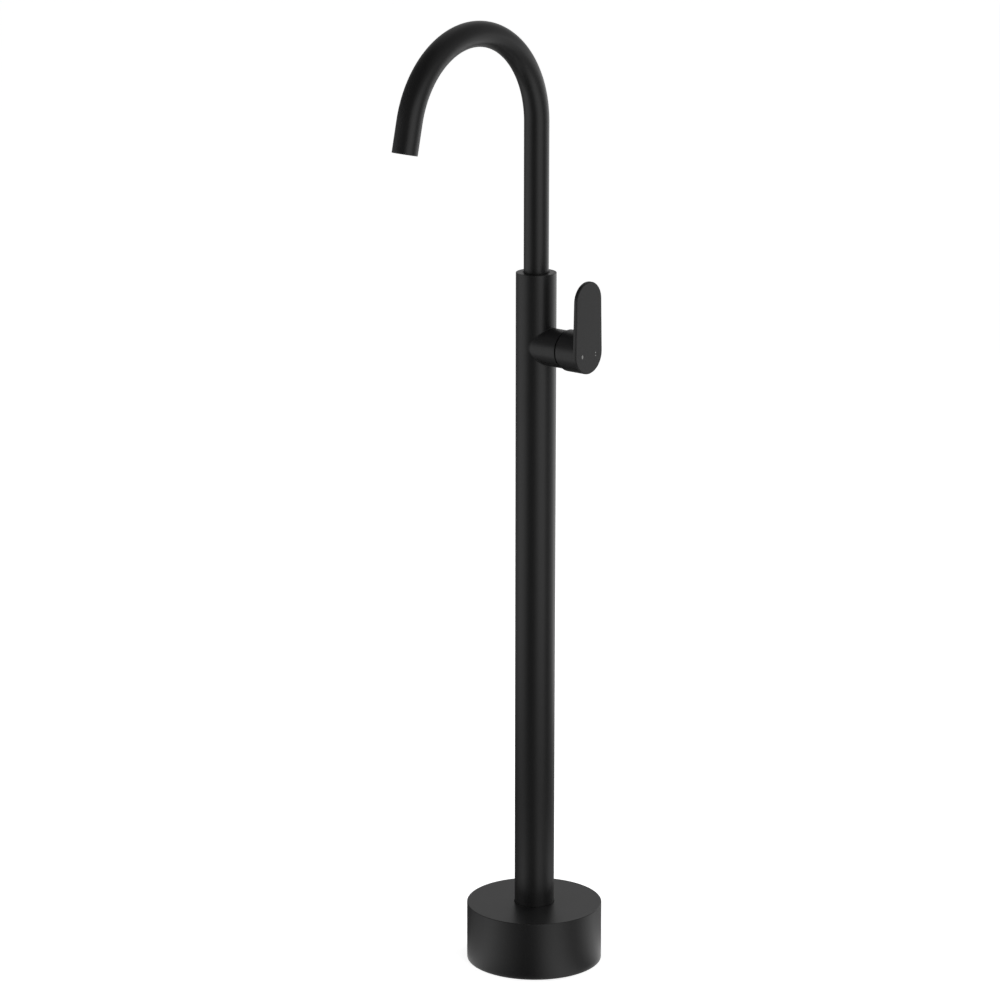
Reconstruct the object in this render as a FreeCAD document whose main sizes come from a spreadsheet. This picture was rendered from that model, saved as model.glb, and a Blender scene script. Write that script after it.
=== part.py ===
import FreeCAD, Part
import math
import os
from types import SimpleNamespace

import Sketcher

# Floor standing bath filler, in millimetres.
# The origin is on the floor, on the axis of the column. +Z is up.
# The spout arches towards -Y, and the side housing with its lever points to +X.

# ---------------------------------------------------------------- driving sizes

SIZES = {
    # base
    "gasket_thickness": 1.5,
    "gasket_margin": 1.0,
    "plate_gap": 5.5,
    "plate_thickness": 8.0,
    "plate_bore_radius": 26.0,
    "collar_opening_radius": 20.0,
    "collar_radius": 31.0,
    "collar_height": 36.0,
    "column_ledge_height": 12.0,
    "anchor_circle_diameter": 110.0,
    "anchor_hole_diameter": 9.0,
    "clamp_screw_radius": 3.0,
    "clamp_screw_drop": 12.5,
    "clamp_screw_projection": 1.5,
    "cover_diameter": 154.0,
    "cover_height": 66.7,
    "cover_wall": 1.5,
    "cover_edge_bevel": 0.5,
    "cover_seal_width": 4.0,
    "cover_seal_height": 3.0,
    # column
    "column_diameter": 45.0,
    "column_wall": 2.0,
    "column_rise": 81.2,
    "foot_height": 48.0,
    "pipe_spacing": 19.4,
    "supply_thread_radius": 7.5,
    "supply_thread_depth": 14.0,
    "check_valve_length": 13.0,
    "check_valve_bore": 3.4,
    "pipe_radius": 6.0,
    "pipe_wall": 1.0,
    "pipe_insertion": 10.0,
    # side housing and valve body
    "branch_height": 718.3,
    "branch_diameter": 42.3,
    "branch_wall": 2.0,
    "valve_height_below": 32.0,
    "valve_height_above": 30.0,
    "seat_distance": 12.0,
    "inlet_port_side": 6.1,
    "inlet_port_rise": 6.8,
    "inlet_port_radius": 3.0,
    "outlet_port_drop": 2.4,
    "outlet_port_radius": 3.6,
    "valve_passage_radius": 4.0,
    "outlet_passage_back": 7.0,
    # mixing cartridge, measured along the lever axis from the column axis
    "socket_wall": 1.6,
    "port_seal_height": 2.0,
    "port_seal_width": 1.4,
    "base_thickness": 5.7,
    "disc_thickness": 3.5,
    "kidney_inner_radius": 7.2,
    "kidney_outer_radius": 11.2,
    "kidney_angle": 66.0,
    "mixing_pocket_radius": 6.9,
    "mixing_pocket_depth": 2.0,
    "carrier_thickness": 3.6,
    "carrier_flat": 9.0,
    "rotor_step": 0.95,
    "rotor_length": 7.1,
    "rotor_collar_step": 2.4,
    "rotor_collar_length": 2.5,
    "rotor_slot_up": 5.2,
    "rotor_slot_down": 7.4,
    "housing_wall": 1.9,
    "housing_lip": 1.9,
    "nut_length": 5.6,
    "nut_wall": 3.85,
    "nut_recess": 0.46,
    "socket_recess": 0.8,
    # lever
    "lever_angle": 25.0,
    "pivot_pin_radius": 1.5,
    "ball_arm": 6.0,
    "ball_radius": 2.2,
    "ball_neck_radius": 1.4,
    "stem_width": 8.0,
    "stem_start": 2.7,
    "stem_grip": 10.0,
    "lever_gap": 1.2,
    "hub_wall": 1.8,
    "hub_cavity_depth": 18.0,
    "hub_boss_radius": 8.0,
    "hub_boss_setback": 6.0,
    "hub_relief_depth": 4.6,
    "hub_relief_start": 4.0,
    "hub_edge_bevel": 0.6,
    "hub_length": 29.0,
    "paddle_thickness": 5.0,
    "paddle_top_radius": 21.5,
    "paddle_length": 58.2,
    "paddle_back_bevel": 1.2,
    "paddle_face_bevel": 0.4,
    "handle_screw_radius": 2.5,
    "handle_screw_length": 7.0,
    "handle_screw_setback": 6.0,
    "plug_thickness": 1.5,
    "mark_side": 11.4,
    "mark_drop": 2.2,
    "mark_width": 1.5,
    "mark_height": 3.8,
    "mark_thickness": 0.15,
    "dot_spacing": 2.3,
    # spout
    "spout_diameter": 27.75,
    "spout_wall": 1.5,
    "spout_riser": 166.0,
    "spout_bend_radius": 106.1,
    "spout_bend_angle": 166.6,
    "spout_tip_length": 34.3,
    "spout_insertion": 11.5,
    "spigot_length": 20.0,
    "spigot_shank": 18.0,
    "spigot_bore": 9.0,
    "seal_groove_depth": 2.0,
    "seal_groove_width": 7.0,
    "seal_groove_start": 2.5,
    "seal_lip_depth": 2.5,
    "lock_screw_radius": 3.0,
    "lock_groove_depth": 1.9,
    "lock_screw_drop": 4.5,
    "socket_floor": 6.0,
    "outlet_pipe_radius": 7.0,
    "outlet_pipe_insertion": 4.0,
    "outlet_pipe_seat": 8.0,
    "bush_wall": 1.0,
    "bush_length": 11.9,
    "bush_recess": 0.6,
    "aerator_length": 13.0,
    "aerator_wall": 1.6,
    "aerator_recess": 0.8,
    "aerator_insert_length": 8.0,
    "aerator_hole_radius": 1.1,
    "aerator_hole_circle": 6.0,
    "washer_thickness": 2.0,
    "washer_bore": 7.5,
    # clearances
    "running_clearance": 0.08,
    "seat_clearance": 0.05,
    "face_clearance": 0.02,
    "free_clearance": 0.3,
}

CLAMP_SCREWS = 3
ANCHOR_HOLES = 4
NUT_SLOTS = 4
AERATOR_HOLES = 6
FULL_TURN = 360.0
HEXAGON_SIDES = 6
KEY_SHARE = 0.55
BALL_STEPS = 3
NEAR = 0.01


# ---------------------------------------------------------------- sizes that know their formula


class Size:
    """A length or angle in two forms: the formula for the sheet, and its number now."""

    def __init__(self, formula, number):
        self.formula = formula
        self.number = number

    def __add__(self, other):
        other = as_size(other)
        return Size(f"({self.formula} + {other.formula})", self.number + other.number)

    def __sub__(self, other):
        other = as_size(other)
        return Size(f"({self.formula} - {other.formula})", self.number - other.number)

    def __mul__(self, other):
        other = as_size(other)
        return Size(f"({self.formula} * {other.formula})", self.number * other.number)

    def __truediv__(self, other):
        other = as_size(other)
        return Size(f"({self.formula} / {other.formula})", self.number / other.number)

    def __neg__(self):
        return Size(f"(0 - {self.formula})", -self.number)


def as_size(value):
    """A plain number as a Size."""
    return value if isinstance(value, Size) else Size(f"({float(value)})", float(value))


def sine(angle):
    return Size(f"sin({angle.formula})", math.sin(math.radians(angle.number)))


def cosine(angle):
    return Size(f"cos({angle.formula})", math.cos(math.radians(angle.number)))


ZERO = as_size(0)

doc = FreeCAD.newDocument("bath_filler")
sheet = doc.addObject("Spreadsheet::Sheet", "dims")
for row, (name, number) in enumerate(SIZES.items(), start=1):
    sheet.set(f"A{row}", name)
    sheet.set(f"B{row}", str(number))
    sheet.setAlias(f"B{row}", name)
doc.recompute()
d = SimpleNamespace(**{name: Size(f"dims.{name}", number) for name, number in SIZES.items()})


# ---------------------------------------------------------------- outlines drawn in a sketch


def bind(sketch, kind, places, size):
    """A sketch constraint whose value follows its formula."""
    index = sketch.addConstraint(Sketcher.Constraint(kind, *places, size.number))
    sketch.setExpression(f"Constraints[{index}]", size.formula)


def fix_point(sketch, geometry, end, x, y):
    bind(sketch, "DistanceX", (-1, 1, geometry, end), as_size(x))
    bind(sketch, "DistanceY", (-1, 1, geometry, end), as_size(y))


def circle(radius, x=ZERO, y=ZERO):
    """Draws a circle."""

    def draw(sketch):
        centre = FreeCAD.Vector(as_size(x).number, as_size(y).number, 0)
        index = sketch.addGeometry(Part.Circle(centre, FreeCAD.Vector(0, 0, 1), radius.number), False)
        bind(sketch, "Radius", (index,), radius)
        fix_point(sketch, index, 3, x, y)

    return draw


def polygon(corners):
    """Draws a closed outline of straight lines through the corners."""

    def draw(sketch):
        points = [(as_size(x), as_size(y)) for x, y in corners]
        vectors = [FreeCAD.Vector(x.number, y.number, 0) for x, y in points]
        first = len(sketch.Geometry)
        for here, there in zip(vectors, vectors[1:] + vectors[:1]):
            sketch.addGeometry(Part.LineSegment(here, there), False)
        for side in range(len(points)):
            following = first + (side + 1) % len(points)
            sketch.addConstraint(Sketcher.Constraint("Coincident", first + side, 2, following, 1))
        for side, (x, y) in enumerate(points):
            fix_point(sketch, first + side, 1, x, y)

    return draw


def rectangle(left, bottom, right, top):
    return polygon([(left, bottom), (right, bottom), (right, top), (left, top)])


def hexagon(radius, x=ZERO, y=ZERO):
    """Draws a hexagon socket by the radius of its corners."""
    corners = []
    for corner in range(HEXAGON_SIDES):
        angle = as_size(corner * FULL_TURN / HEXAGON_SIDES)
        corners.append((as_size(x) + radius * cosine(angle), as_size(y) + radius * sine(angle)))
    return polygon(corners)


def tapered_slot(radius_low, radius_high, x, y_low, y_high):
    """Draws two arcs, one above the other, joined by their two outer tangents."""

    def draw(sketch):
        low = FreeCAD.Vector(as_size(x).number, as_size(y_low).number, 0)
        high = FreeCAD.Vector(as_size(x).number, as_size(y_high).number, 0)
        tilt = math.asin((radius_low.number - radius_high.number) / (high - low).Length)
        axis = FreeCAD.Vector(0, 0, 1)
        first = len(sketch.Geometry)
        lower = Part.Circle(low, axis, radius_low.number)
        upper = Part.Circle(high, axis, radius_high.number)
        side = FreeCAD.Vector(math.cos(tilt), math.sin(tilt), 0)
        mirror = FreeCAD.Vector(-side.x, side.y, 0)
        sketch.addGeometry(Part.ArcOfCircle(lower, math.pi - tilt, 2 * math.pi + tilt), False)
        right = (low + side * radius_low.number, high + side * radius_high.number)
        left = (high + mirror * radius_high.number, low + mirror * radius_low.number)
        sketch.addGeometry(Part.LineSegment(*right), False)
        sketch.addGeometry(Part.ArcOfCircle(upper, tilt, math.pi - tilt), False)
        sketch.addGeometry(Part.LineSegment(*left), False)
        for step in range(4):
            here = first + step
            there = first + (step + 1) % 4
            sketch.addConstraint(Sketcher.Constraint("Tangent", here, 2, there, 1))
        bind(sketch, "Radius", (first,), radius_low)
        bind(sketch, "Radius", (first + 2,), radius_high)
        fix_point(sketch, first, 3, x, y_low)
        fix_point(sketch, first + 2, 3, x, y_high)

    return draw


# ---------------------------------------------------------------- one sub-part, feature by feature


class Piece:
    """A body with its own place, its features added one after the other."""

    def __init__(self, label):
        self.body = doc.addObject("PartDesign::Body", label)
        self.body.Label = label
        self.body.AllowCompound = True
        self.counter = 0

    def origin(self, role):
        return next(item for item in self.body.Origin.OriginFeatures if item.Role == role)

    def sketch(self, plane, drawings, offset=ZERO, turn=0.0):
        """A sketch on an origin plane, moved along its normal, and turned about its upright axis."""
        self.counter += 1
        sketch = self.body.newObject("Sketcher::SketchObject", f"{self.body.Name}_sketch_{self.counter}")
        sketch.AttachmentSupport = (self.origin(plane), [""])
        sketch.MapMode = "FlatFace"
        if turn:
            upright = FreeCAD.Rotation(FreeCAD.Vector(0, 1, 0), turn)
            sketch.AttachmentOffset = FreeCAD.Placement(FreeCAD.Vector(0, 0, 0), upright)
        sketch.setExpression(".AttachmentOffset.Base.z", as_size(offset).formula)
        for draw in drawings:
            draw(sketch)
        return sketch

    def feature(self, kind, profile):
        item = self.body.newObject(f"PartDesign::{kind}", f"{self.body.Name}_{kind}_{self.counter}")
        item.Profile = profile
        profile.Visibility = False
        return item

    def finish(self, item, cuts):
        """Recomputes, and makes sure that a cut took material away and an addition brought some."""
        before = item.BaseFeature.Shape.Volume if item.BaseFeature else 0.0
        doc.recompute()
        after = item.Shape.Volume
        if cuts and not after < before:
            raise RuntimeError(f"{item.Name} cuts nothing")
        if not cuts and not after > before:
            raise RuntimeError(f"{item.Name} adds nothing")
        return item

    def pad(self, plane, drawings, start, end):
        """Material from start to end along the plane's normal."""
        item = self.feature("Pad", self.sketch(plane, drawings, start))
        item.setExpression("Length", (as_size(end) - start).formula)
        return self.finish(item, cuts=False)

    def pocket(self, plane, drawings, start, end):
        """A hole from start to end along the plane's normal."""
        item = self.feature("Pocket", self.sketch(plane, drawings, end))
        item.setExpression("Length", (as_size(end) - start).formula)
        return self.finish(item, cuts=True)

    def revolve(self, corners):
        """A turned shape about the body's Z axis: corners are (radius, height)."""
        item = self.feature("Revolution", self.sketch("XZ_Plane", [polygon(corners)]))
        item.ReferenceAxis = (self.origin("Z_Axis"), [""])
        item.Angle = FULL_TURN
        return self.finish(item, cuts=False)

    def groove(self, corners, angle=None, turn=0.0):
        """A turned cut about the body's Z axis, all round or over an angle centred on turn."""
        item = self.feature("Groove", self.sketch("XZ_Plane", [polygon(corners)], turn=turn))
        item.ReferenceAxis = (self.origin("Z_Axis"), [""])
        item.Angle = FULL_TURN
        if angle is not None:
            item.setExpression("Angle", angle.formula)
            item.Midplane = True
        return self.finish(item, cuts=True)

    def repeat(self, features, count):
        """Copies of the features, evenly round the body's Z axis."""
        item = self.body.newObject("PartDesign::PolarPattern", f"{self.body.Name}_pattern_{self.counter}")
        item.Originals = features
        item.Axis = (self.origin("Z_Axis"), [""])
        item.Angle = FULL_TURN
        item.Occurrences = count
        self.body.Tip = item
        doc.recompute()
        return item

    def bevel_edges(self, width, wanted):
        """Bevels the edges of the last feature that the test picks."""
        base = self.body.Tip
        edges = base.Shape.Edges
        names = [f"Edge{number}" for number, edge in enumerate(edges, start=1) if wanted(edge)]
        if not names:
            raise RuntimeError(f"{self.body.Label} has no edge to bevel")
        item = self.body.newObject("PartDesign::Chamfer", f"{self.body.Name}_chamfer_{self.counter}")
        item.Base = (base, names)
        item.setExpression("Size", width.formula)
        self.counter += 1
        self.body.Tip = item
        doc.recompute()
        return item

    def place(self, x=ZERO, y=ZERO, z=ZERO):
        for axis, value in (("x", x), ("y", y), ("z", z)):
            self.body.setExpression(f".Placement.Base.{axis}", as_size(value).formula)

    def place_on_lever_axis(self):
        """Turns the body's Z to point along +X at the branch height, with its Y upwards."""
        self.body.Placement = FreeCAD.Placement(FreeCAD.Vector(0, 0, 0), LEVER_AXIS_TURN)
        self.place(z=d.branch_height)


LEVER_AXIS_TURN = FreeCAD.Rotation(FreeCAD.Vector(1, 1, 1), FULL_TURN / 3)


def tube_corners(inner, outer, low, high):
    return [(inner, low), (outer, low), (outer, high), (inner, high)]


def is_circle(edge, radius, height):
    """Is the edge a whole circle of this radius about the Z axis at this height?"""
    curve = edge.Curve
    if not isinstance(curve, Part.Circle):
        return False
    return abs(curve.Radius - radius.number) < NEAR and abs(curve.Center.z - height.number) < NEAR


# ---------------------------------------------------------------- sizes that several pieces share

column_radius = d.column_diameter / 2
column_bore = column_radius - d.column_wall
insert_radius = column_bore - d.seat_clearance
plate_top = d.gasket_thickness + d.plate_thickness
collar_top = plate_top + d.collar_height
clamp_screw_height = collar_top - d.clamp_screw_drop
anchor_circle_radius = d.anchor_circle_diameter / 2
anchor_hole_radius = d.anchor_hole_diameter / 2
cover_radius = d.cover_diameter / 2
cover_bore = cover_radius - d.cover_wall
plate_radius = cover_bore - d.plate_gap
cover_ceiling = d.cover_height - d.cover_wall
cover_hole_radius = column_radius + d.free_clearance

pipe_side = d.pipe_spacing / 2
foot_top = d.column_ledge_height + d.foot_height
supply_thread_end = d.column_ledge_height + d.supply_thread_depth
foot_pipe_seat = supply_thread_end + d.check_valve_length
column_top = d.branch_height + d.column_rise
valve_bottom = d.branch_height - d.valve_height_below
valve_top = d.branch_height + d.valve_height_above
valve_pipe_seat = valve_bottom + d.pipe_insertion
inlet_height = d.branch_height + d.inlet_port_rise
outlet_height = d.branch_height - d.outlet_port_drop

branch_radius = d.branch_diameter / 2
branch_bore = branch_radius - d.branch_wall
socket_radius = branch_bore - d.seat_clearance
socket_bore = socket_radius - d.socket_wall
cartridge_radius = socket_bore - d.seat_clearance
base_start = d.seat_distance + d.free_clearance
base_end = base_start + d.base_thickness
fixed_disc_end = base_end + d.disc_thickness
moving_disc_start = fixed_disc_end + d.face_clearance
moving_disc_end = moving_disc_start + d.disc_thickness
carrier_end = moving_disc_end + d.carrier_thickness
rotor_start = carrier_end + d.free_clearance
rotor_end = rotor_start + d.rotor_length
housing_bore = cartridge_radius - d.housing_wall
disc_travel = d.ball_arm * sine(d.lever_angle)
fixed_disc_radius = housing_bore - d.free_clearance
moving_disc_radius = fixed_disc_radius - disc_travel
rotor_radius = housing_bore - d.rotor_step
rotor_bore = rotor_radius + d.running_clearance
rotor_collar_radius = rotor_radius - d.rotor_collar_step
housing_shoulder = rotor_start - d.face_clearance
housing_lip_start = rotor_end + d.face_clearance
housing_end = housing_lip_start + d.housing_lip
nut_end = housing_end + d.nut_length
nut_bore = cartridge_radius - d.nut_wall
socket_end = nut_end + d.nut_recess
branch_end = socket_end + d.socket_recess

ball_centre = moving_disc_end + d.ball_radius + d.running_clearance
pivot_distance = ball_centre + d.ball_arm
hub_start = branch_end + d.lever_gap
hub_cavity_radius = branch_radius + d.seat_clearance
hub_radius = hub_cavity_radius + d.hub_wall
hub_cavity_end = hub_start + d.hub_cavity_depth
hub_boss_start = hub_start + d.hub_boss_setback
stem_end = hub_boss_start + d.stem_grip
handle_screw_distance = hub_boss_start + d.handle_screw_setback
paddle_face = hub_start + d.hub_length

spout_radius = d.spout_diameter / 2
spout_bore = spout_radius - d.spout_wall
spout_tube_start = column_top - d.spout_insertion
spout_riser_top = column_top + d.spout_riser
spigot_bottom = spout_tube_start - d.spigot_length
lock_screw_height = spout_tube_start - d.lock_screw_drop
spigot_hole_radius = spout_radius + d.running_clearance
bush_top = column_top - d.bush_recess
bush_bottom = bush_top - d.bush_length
bush_outer_radius = spigot_hole_radius + d.bush_wall
socket_bottom = spigot_bottom - d.socket_floor
outlet_pipe_bore = d.outlet_pipe_radius - d.pipe_wall
outlet_pipe_seat = socket_bottom + d.outlet_pipe_insertion
valve_outlet_seat = valve_top - d.outlet_pipe_seat
shank_radius = spout_bore - d.seat_clearance


# ---------------------------------------------------------------- base


def make_floor_gasket():
    gasket = Piece("floor_gasket")
    rim = circle(plate_radius - d.gasket_margin)
    opening = circle(d.collar_opening_radius)
    gasket.pad("XY_Plane", [rim, opening], ZERO, d.gasket_thickness)
    hole = circle(anchor_hole_radius, x=anchor_circle_radius)
    gasket.repeat([gasket.pocket("XY_Plane", [hole], ZERO, d.gasket_thickness)], ANCHOR_HOLES)
    gasket.place()
    return gasket


def make_floor_plate():
    plate = Piece("floor_plate")
    disc = [circle(plate_radius), circle(d.plate_bore_radius)]
    plate.pad("XY_Plane", disc, d.gasket_thickness, plate_top)
    hole = circle(anchor_hole_radius, x=anchor_circle_radius)
    anchor = plate.pocket("XY_Plane", [hole], d.gasket_thickness, plate_top)
    plate.repeat([anchor], ANCHOR_HOLES)
    plate.place()
    return plate


def make_clamp_collar():
    """Stands in the plate's bore. The column stands on its inner ledge, held by three screws."""
    collar = Piece("clamp_collar")
    column_seat = column_radius + d.running_clearance
    spigot = d.plate_bore_radius - d.seat_clearance
    collar.revolve([
        (d.collar_opening_radius, d.gasket_thickness),
        (spigot, d.gasket_thickness),
        (spigot, plate_top),
        (d.collar_radius, plate_top),
        (d.collar_radius, collar_top),
        (column_seat, collar_top),
        (column_seat, d.column_ledge_height),
        (d.collar_opening_radius, d.column_ledge_height),
    ])
    thread = circle(d.clamp_screw_radius, y=clamp_screw_height)
    clamp = collar.pocket("YZ_Plane", [thread], d.collar_opening_radius, d.collar_radius + d.free_clearance)
    collar.repeat([clamp], CLAMP_SCREWS)
    collar.place()
    return collar


def make_clamp_screws():
    screws = Piece("clamp_screws")
    start = column_radius + d.seat_clearance
    end = d.collar_radius + d.clamp_screw_projection
    shank = circle(d.clamp_screw_radius - d.seat_clearance, y=clamp_screw_height)
    shaft = screws.pad("YZ_Plane", [shank], start, end)
    key = hexagon(d.clamp_screw_radius * KEY_SHARE, y=clamp_screw_height)
    socket = screws.pocket("YZ_Plane", [key], end - d.clamp_screw_radius, end)
    screws.repeat([shaft, socket], CLAMP_SCREWS)
    screws.place()
    return screws


def make_cover_skirt():
    skirt = Piece("cover_skirt")
    skirt.revolve(tube_corners(cover_bore, cover_radius, ZERO, cover_ceiling))
    skirt.place()
    return skirt


def make_cover_top():
    """The ring plate that closes the skirt, with the column through its hole."""
    top = Piece("cover_top")
    top.revolve([
        (cover_hole_radius, cover_ceiling),
        (cover_radius, cover_ceiling),
        (cover_radius, d.cover_height - d.cover_edge_bevel),
        (cover_radius - d.cover_edge_bevel, d.cover_height),
        (cover_hole_radius, d.cover_height),
    ])
    top.place()
    return top


def make_cover_seal():
    seal = Piece("cover_seal")
    lip = column_radius + d.running_clearance
    back = lip + d.cover_seal_width
    low = cover_ceiling - d.cover_seal_height
    seal.revolve([(lip, low), (lip + d.cover_seal_width / 2, low), (back, cover_ceiling), (lip, cover_ceiling)])
    seal.place()
    return seal


# ---------------------------------------------------------------- column


def make_column_tube():
    tube = Piece("column_tube")
    tube.revolve(tube_corners(column_bore, column_radius, d.column_ledge_height, column_top))
    side_hole = circle(socket_radius + d.seat_clearance, y=d.branch_height)
    tube.pocket("YZ_Plane", [side_hole], ZERO, column_radius + d.free_clearance)
    screw_hole = circle(d.lock_screw_radius + d.seat_clearance, y=lock_screw_height)
    tube.pocket("XZ_Plane", [screw_hole], -(column_radius + d.free_clearance), ZERO)
    tube.place()
    return tube


def both_sides(radius, side):
    """Draws two equal circles, at plus and minus side along the sketch's second axis."""
    return [circle(radius, y=side), circle(radius, y=-side)]


def make_column_foot():
    """Two supply threads from below, and two bores that hold the check valves and the pipes."""
    foot = Piece("column_foot")
    foot.pad("XY_Plane", [circle(insert_radius)], d.column_ledge_height, foot_top)
    thread = both_sides(d.supply_thread_radius, pipe_side)
    foot.pocket("XY_Plane", thread, d.column_ledge_height, supply_thread_end)
    bore = both_sides(d.pipe_radius + d.seat_clearance, pipe_side)
    foot.pocket("XY_Plane", bore, supply_thread_end, foot_top)
    foot.place()
    return foot


def make_check_valves():
    valves = Piece("check_valves")
    wall_start = foot_pipe_seat - d.pipe_wall
    valves.pad("XY_Plane", both_sides(d.pipe_radius, pipe_side), supply_thread_end, foot_pipe_seat)
    valves.pocket("XY_Plane", both_sides(d.check_valve_bore, pipe_side), supply_thread_end, wall_start)
    valves.pocket("XY_Plane", both_sides(d.check_valve_bore / 2, pipe_side), wall_start, foot_pipe_seat)
    valves.place()
    return valves


def make_supply_pipe(label, side):
    pipe = Piece(label)
    corners = tube_corners(d.pipe_radius - d.pipe_wall, d.pipe_radius, foot_pipe_seat, valve_pipe_seat)
    pipe.revolve(corners)
    pipe.place(y=side)
    return pipe


def make_valve_body():
    valve = Piece("valve_body")
    valve.pad("XY_Plane", [circle(insert_radius)], valve_bottom, valve_top)
    socket_seat = circle(socket_radius + d.seat_clearance, y=d.branch_height)
    valve.pocket("YZ_Plane", [socket_seat], d.seat_distance, column_radius)
    inlet_right = circle(d.inlet_port_radius, x=d.inlet_port_side, y=inlet_height)
    inlet_left = circle(d.inlet_port_radius, x=-d.inlet_port_side, y=inlet_height)
    valve.pocket("YZ_Plane", [inlet_right, inlet_left], ZERO, d.seat_distance)
    outlet = circle(d.outlet_port_radius, y=outlet_height)
    valve.pocket("YZ_Plane", [outlet], -d.outlet_passage_back, d.seat_distance)
    supply = both_sides(d.valve_passage_radius, pipe_side)
    valve.pocket("XY_Plane", supply, valve_pipe_seat, inlet_height)
    pipe_seat = both_sides(d.pipe_radius + d.seat_clearance, pipe_side)
    valve.pocket("XY_Plane", pipe_seat, valve_bottom, valve_pipe_seat)
    rise = circle(d.outlet_port_radius, x=-d.outlet_passage_back)
    valve.pocket("XY_Plane", [rise], outlet_height, valve_outlet_seat)
    outlet_seat = circle(d.outlet_pipe_radius + d.seat_clearance)
    valve.pocket("XY_Plane", [outlet_seat], valve_outlet_seat, valve_top)
    valve.place()
    return valve


def make_outlet_pipe():
    pipe = Piece("outlet_pipe")
    pipe.revolve(tube_corners(outlet_pipe_bore, d.outlet_pipe_radius, valve_outlet_seat, outlet_pipe_seat))
    pipe.place()
    return pipe


def make_side_housing():
    """The branch sleeve, cut to the column's round where it meets it."""
    sleeve = Piece("side_housing")
    ring = [circle(branch_radius, y=d.branch_height), circle(branch_bore, y=d.branch_height)]
    sleeve.pad("YZ_Plane", ring, d.branch_wall * 2, branch_end)
    saddle = circle(column_radius + d.seat_clearance)
    sleeve.pocket("XY_Plane", [saddle], valve_bottom, valve_top)
    sleeve.place()
    return sleeve


# ---------------------------------------------------------------- mixing cartridge


def make_cartridge_socket():
    socket = Piece("cartridge_socket")
    socket.revolve(tube_corners(socket_bore, socket_radius, d.seat_distance, socket_end))
    socket.place_on_lever_axis()
    return socket


def port_circles(inlet_radius, outlet_radius):
    """Draws the two inlets and the outlet as seen along the lever axis."""
    return [
        circle(inlet_radius, x=d.inlet_port_side, y=d.inlet_port_rise),
        circle(inlet_radius, x=-d.inlet_port_side, y=d.inlet_port_rise),
        circle(outlet_radius, y=-d.outlet_port_drop),
    ]


def make_cartridge_base():
    base = Piece("cartridge_base")
    base.pad("XY_Plane", [circle(cartridge_radius)], base_start, base_end)
    base.pocket("XY_Plane", port_circles(d.inlet_port_radius, d.outlet_port_radius), base_start, base_end)
    seal_end = d.seat_distance + d.port_seal_height
    inlet_recess = d.inlet_port_radius + d.port_seal_width + d.seat_clearance
    outlet_recess = d.outlet_port_radius + d.port_seal_width + d.seat_clearance
    base.pocket("XY_Plane", port_circles(inlet_recess, outlet_recess), base_start, seal_end)
    base.place_on_lever_axis()
    return base


def make_port_seals():
    seals = Piece("port_seals")
    outer = port_circles(d.inlet_port_radius + d.port_seal_width, d.outlet_port_radius + d.port_seal_width)
    inner = port_circles(d.inlet_port_radius, d.outlet_port_radius)
    end = d.seat_distance + d.port_seal_height
    seals.pad("XY_Plane", outer + inner, d.seat_distance, end)
    seals.place_on_lever_axis()
    return seals


def kidney_corners(start, end):
    return tube_corners(d.kidney_inner_radius, d.kidney_outer_radius, start, end)


def make_fixed_disc():
    """The ceramic disc that stays: two kidney inlets above and the outlet below."""
    disc = Piece("fixed_disc")
    disc.pad("XY_Plane", [circle(fixed_disc_radius)], base_end, fixed_disc_end)
    inlet_angle = math.degrees(math.atan2(d.inlet_port_rise.number, d.inlet_port_side.number))
    for turn in (-inlet_angle, inlet_angle - FULL_TURN / 2):
        disc.groove(kidney_corners(base_end, fixed_disc_end), d.kidney_angle, turn)
    outlet = circle(d.outlet_port_radius, y=-d.outlet_port_drop)
    disc.pocket("XY_Plane", [outlet], base_end, fixed_disc_end)
    disc.place_on_lever_axis()
    return disc


def make_moving_disc():
    """The ceramic disc that slides and turns: its back pocket joins the inlets to the outlet."""
    disc = Piece("moving_disc")
    disc.pad("XY_Plane", [circle(moving_disc_radius)], moving_disc_start, moving_disc_end)
    pocket_end = moving_disc_start + d.mixing_pocket_depth
    disc.pocket("XY_Plane", [circle(d.mixing_pocket_radius)], moving_disc_start, pocket_end)
    disc.place_on_lever_axis()
    return disc


def make_disc_carrier():
    carrier = Piece("disc_carrier")
    carrier.pad("XY_Plane", [circle(moving_disc_radius)], moving_disc_end, carrier_end)
    for side in (1, -1):
        near = as_size(side) * d.carrier_flat
        far = as_size(side) * (moving_disc_radius + d.free_clearance)
        flat = rectangle(near, -rotor_radius, far, rotor_radius)
        carrier.pocket("XY_Plane", [flat], moving_disc_end, carrier_end)
    carrier.pocket("XY_Plane", [circle(d.ball_radius + d.running_clearance)], moving_disc_end, carrier_end)
    carrier.place_on_lever_axis()
    return carrier


def make_cartridge_rotor():
    """Turns with the lever. Two lugs at its back drive the carrier, which slides between them."""
    rotor = Piece("cartridge_rotor")
    lug_start = moving_disc_end + d.free_clearance
    rotor.pad("XY_Plane", [circle(rotor_radius)], lug_start, rotor_end)
    lug_inside = d.carrier_flat + d.running_clearance
    guide = rectangle(-lug_inside, -cartridge_radius, lug_inside, cartridge_radius)
    rotor.pocket("XY_Plane", [guide], lug_start, rotor_start)
    collar_end = rotor_end + d.rotor_collar_length
    rotor.pad("XY_Plane", [circle(rotor_collar_radius)], rotor_end, collar_end)
    slot_side = d.stem_width / 2 + d.running_clearance
    slot = rectangle(-slot_side, -d.rotor_slot_down, slot_side, d.rotor_slot_up)
    rotor.pocket("XY_Plane", [slot], rotor_start, collar_end)
    pin_hole = circle(d.pivot_pin_radius + d.face_clearance, y=pivot_distance)
    rotor.pocket("YZ_Plane", [pin_hole], -rotor_radius, rotor_radius)
    rotor.place_on_lever_axis()
    return rotor


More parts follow.
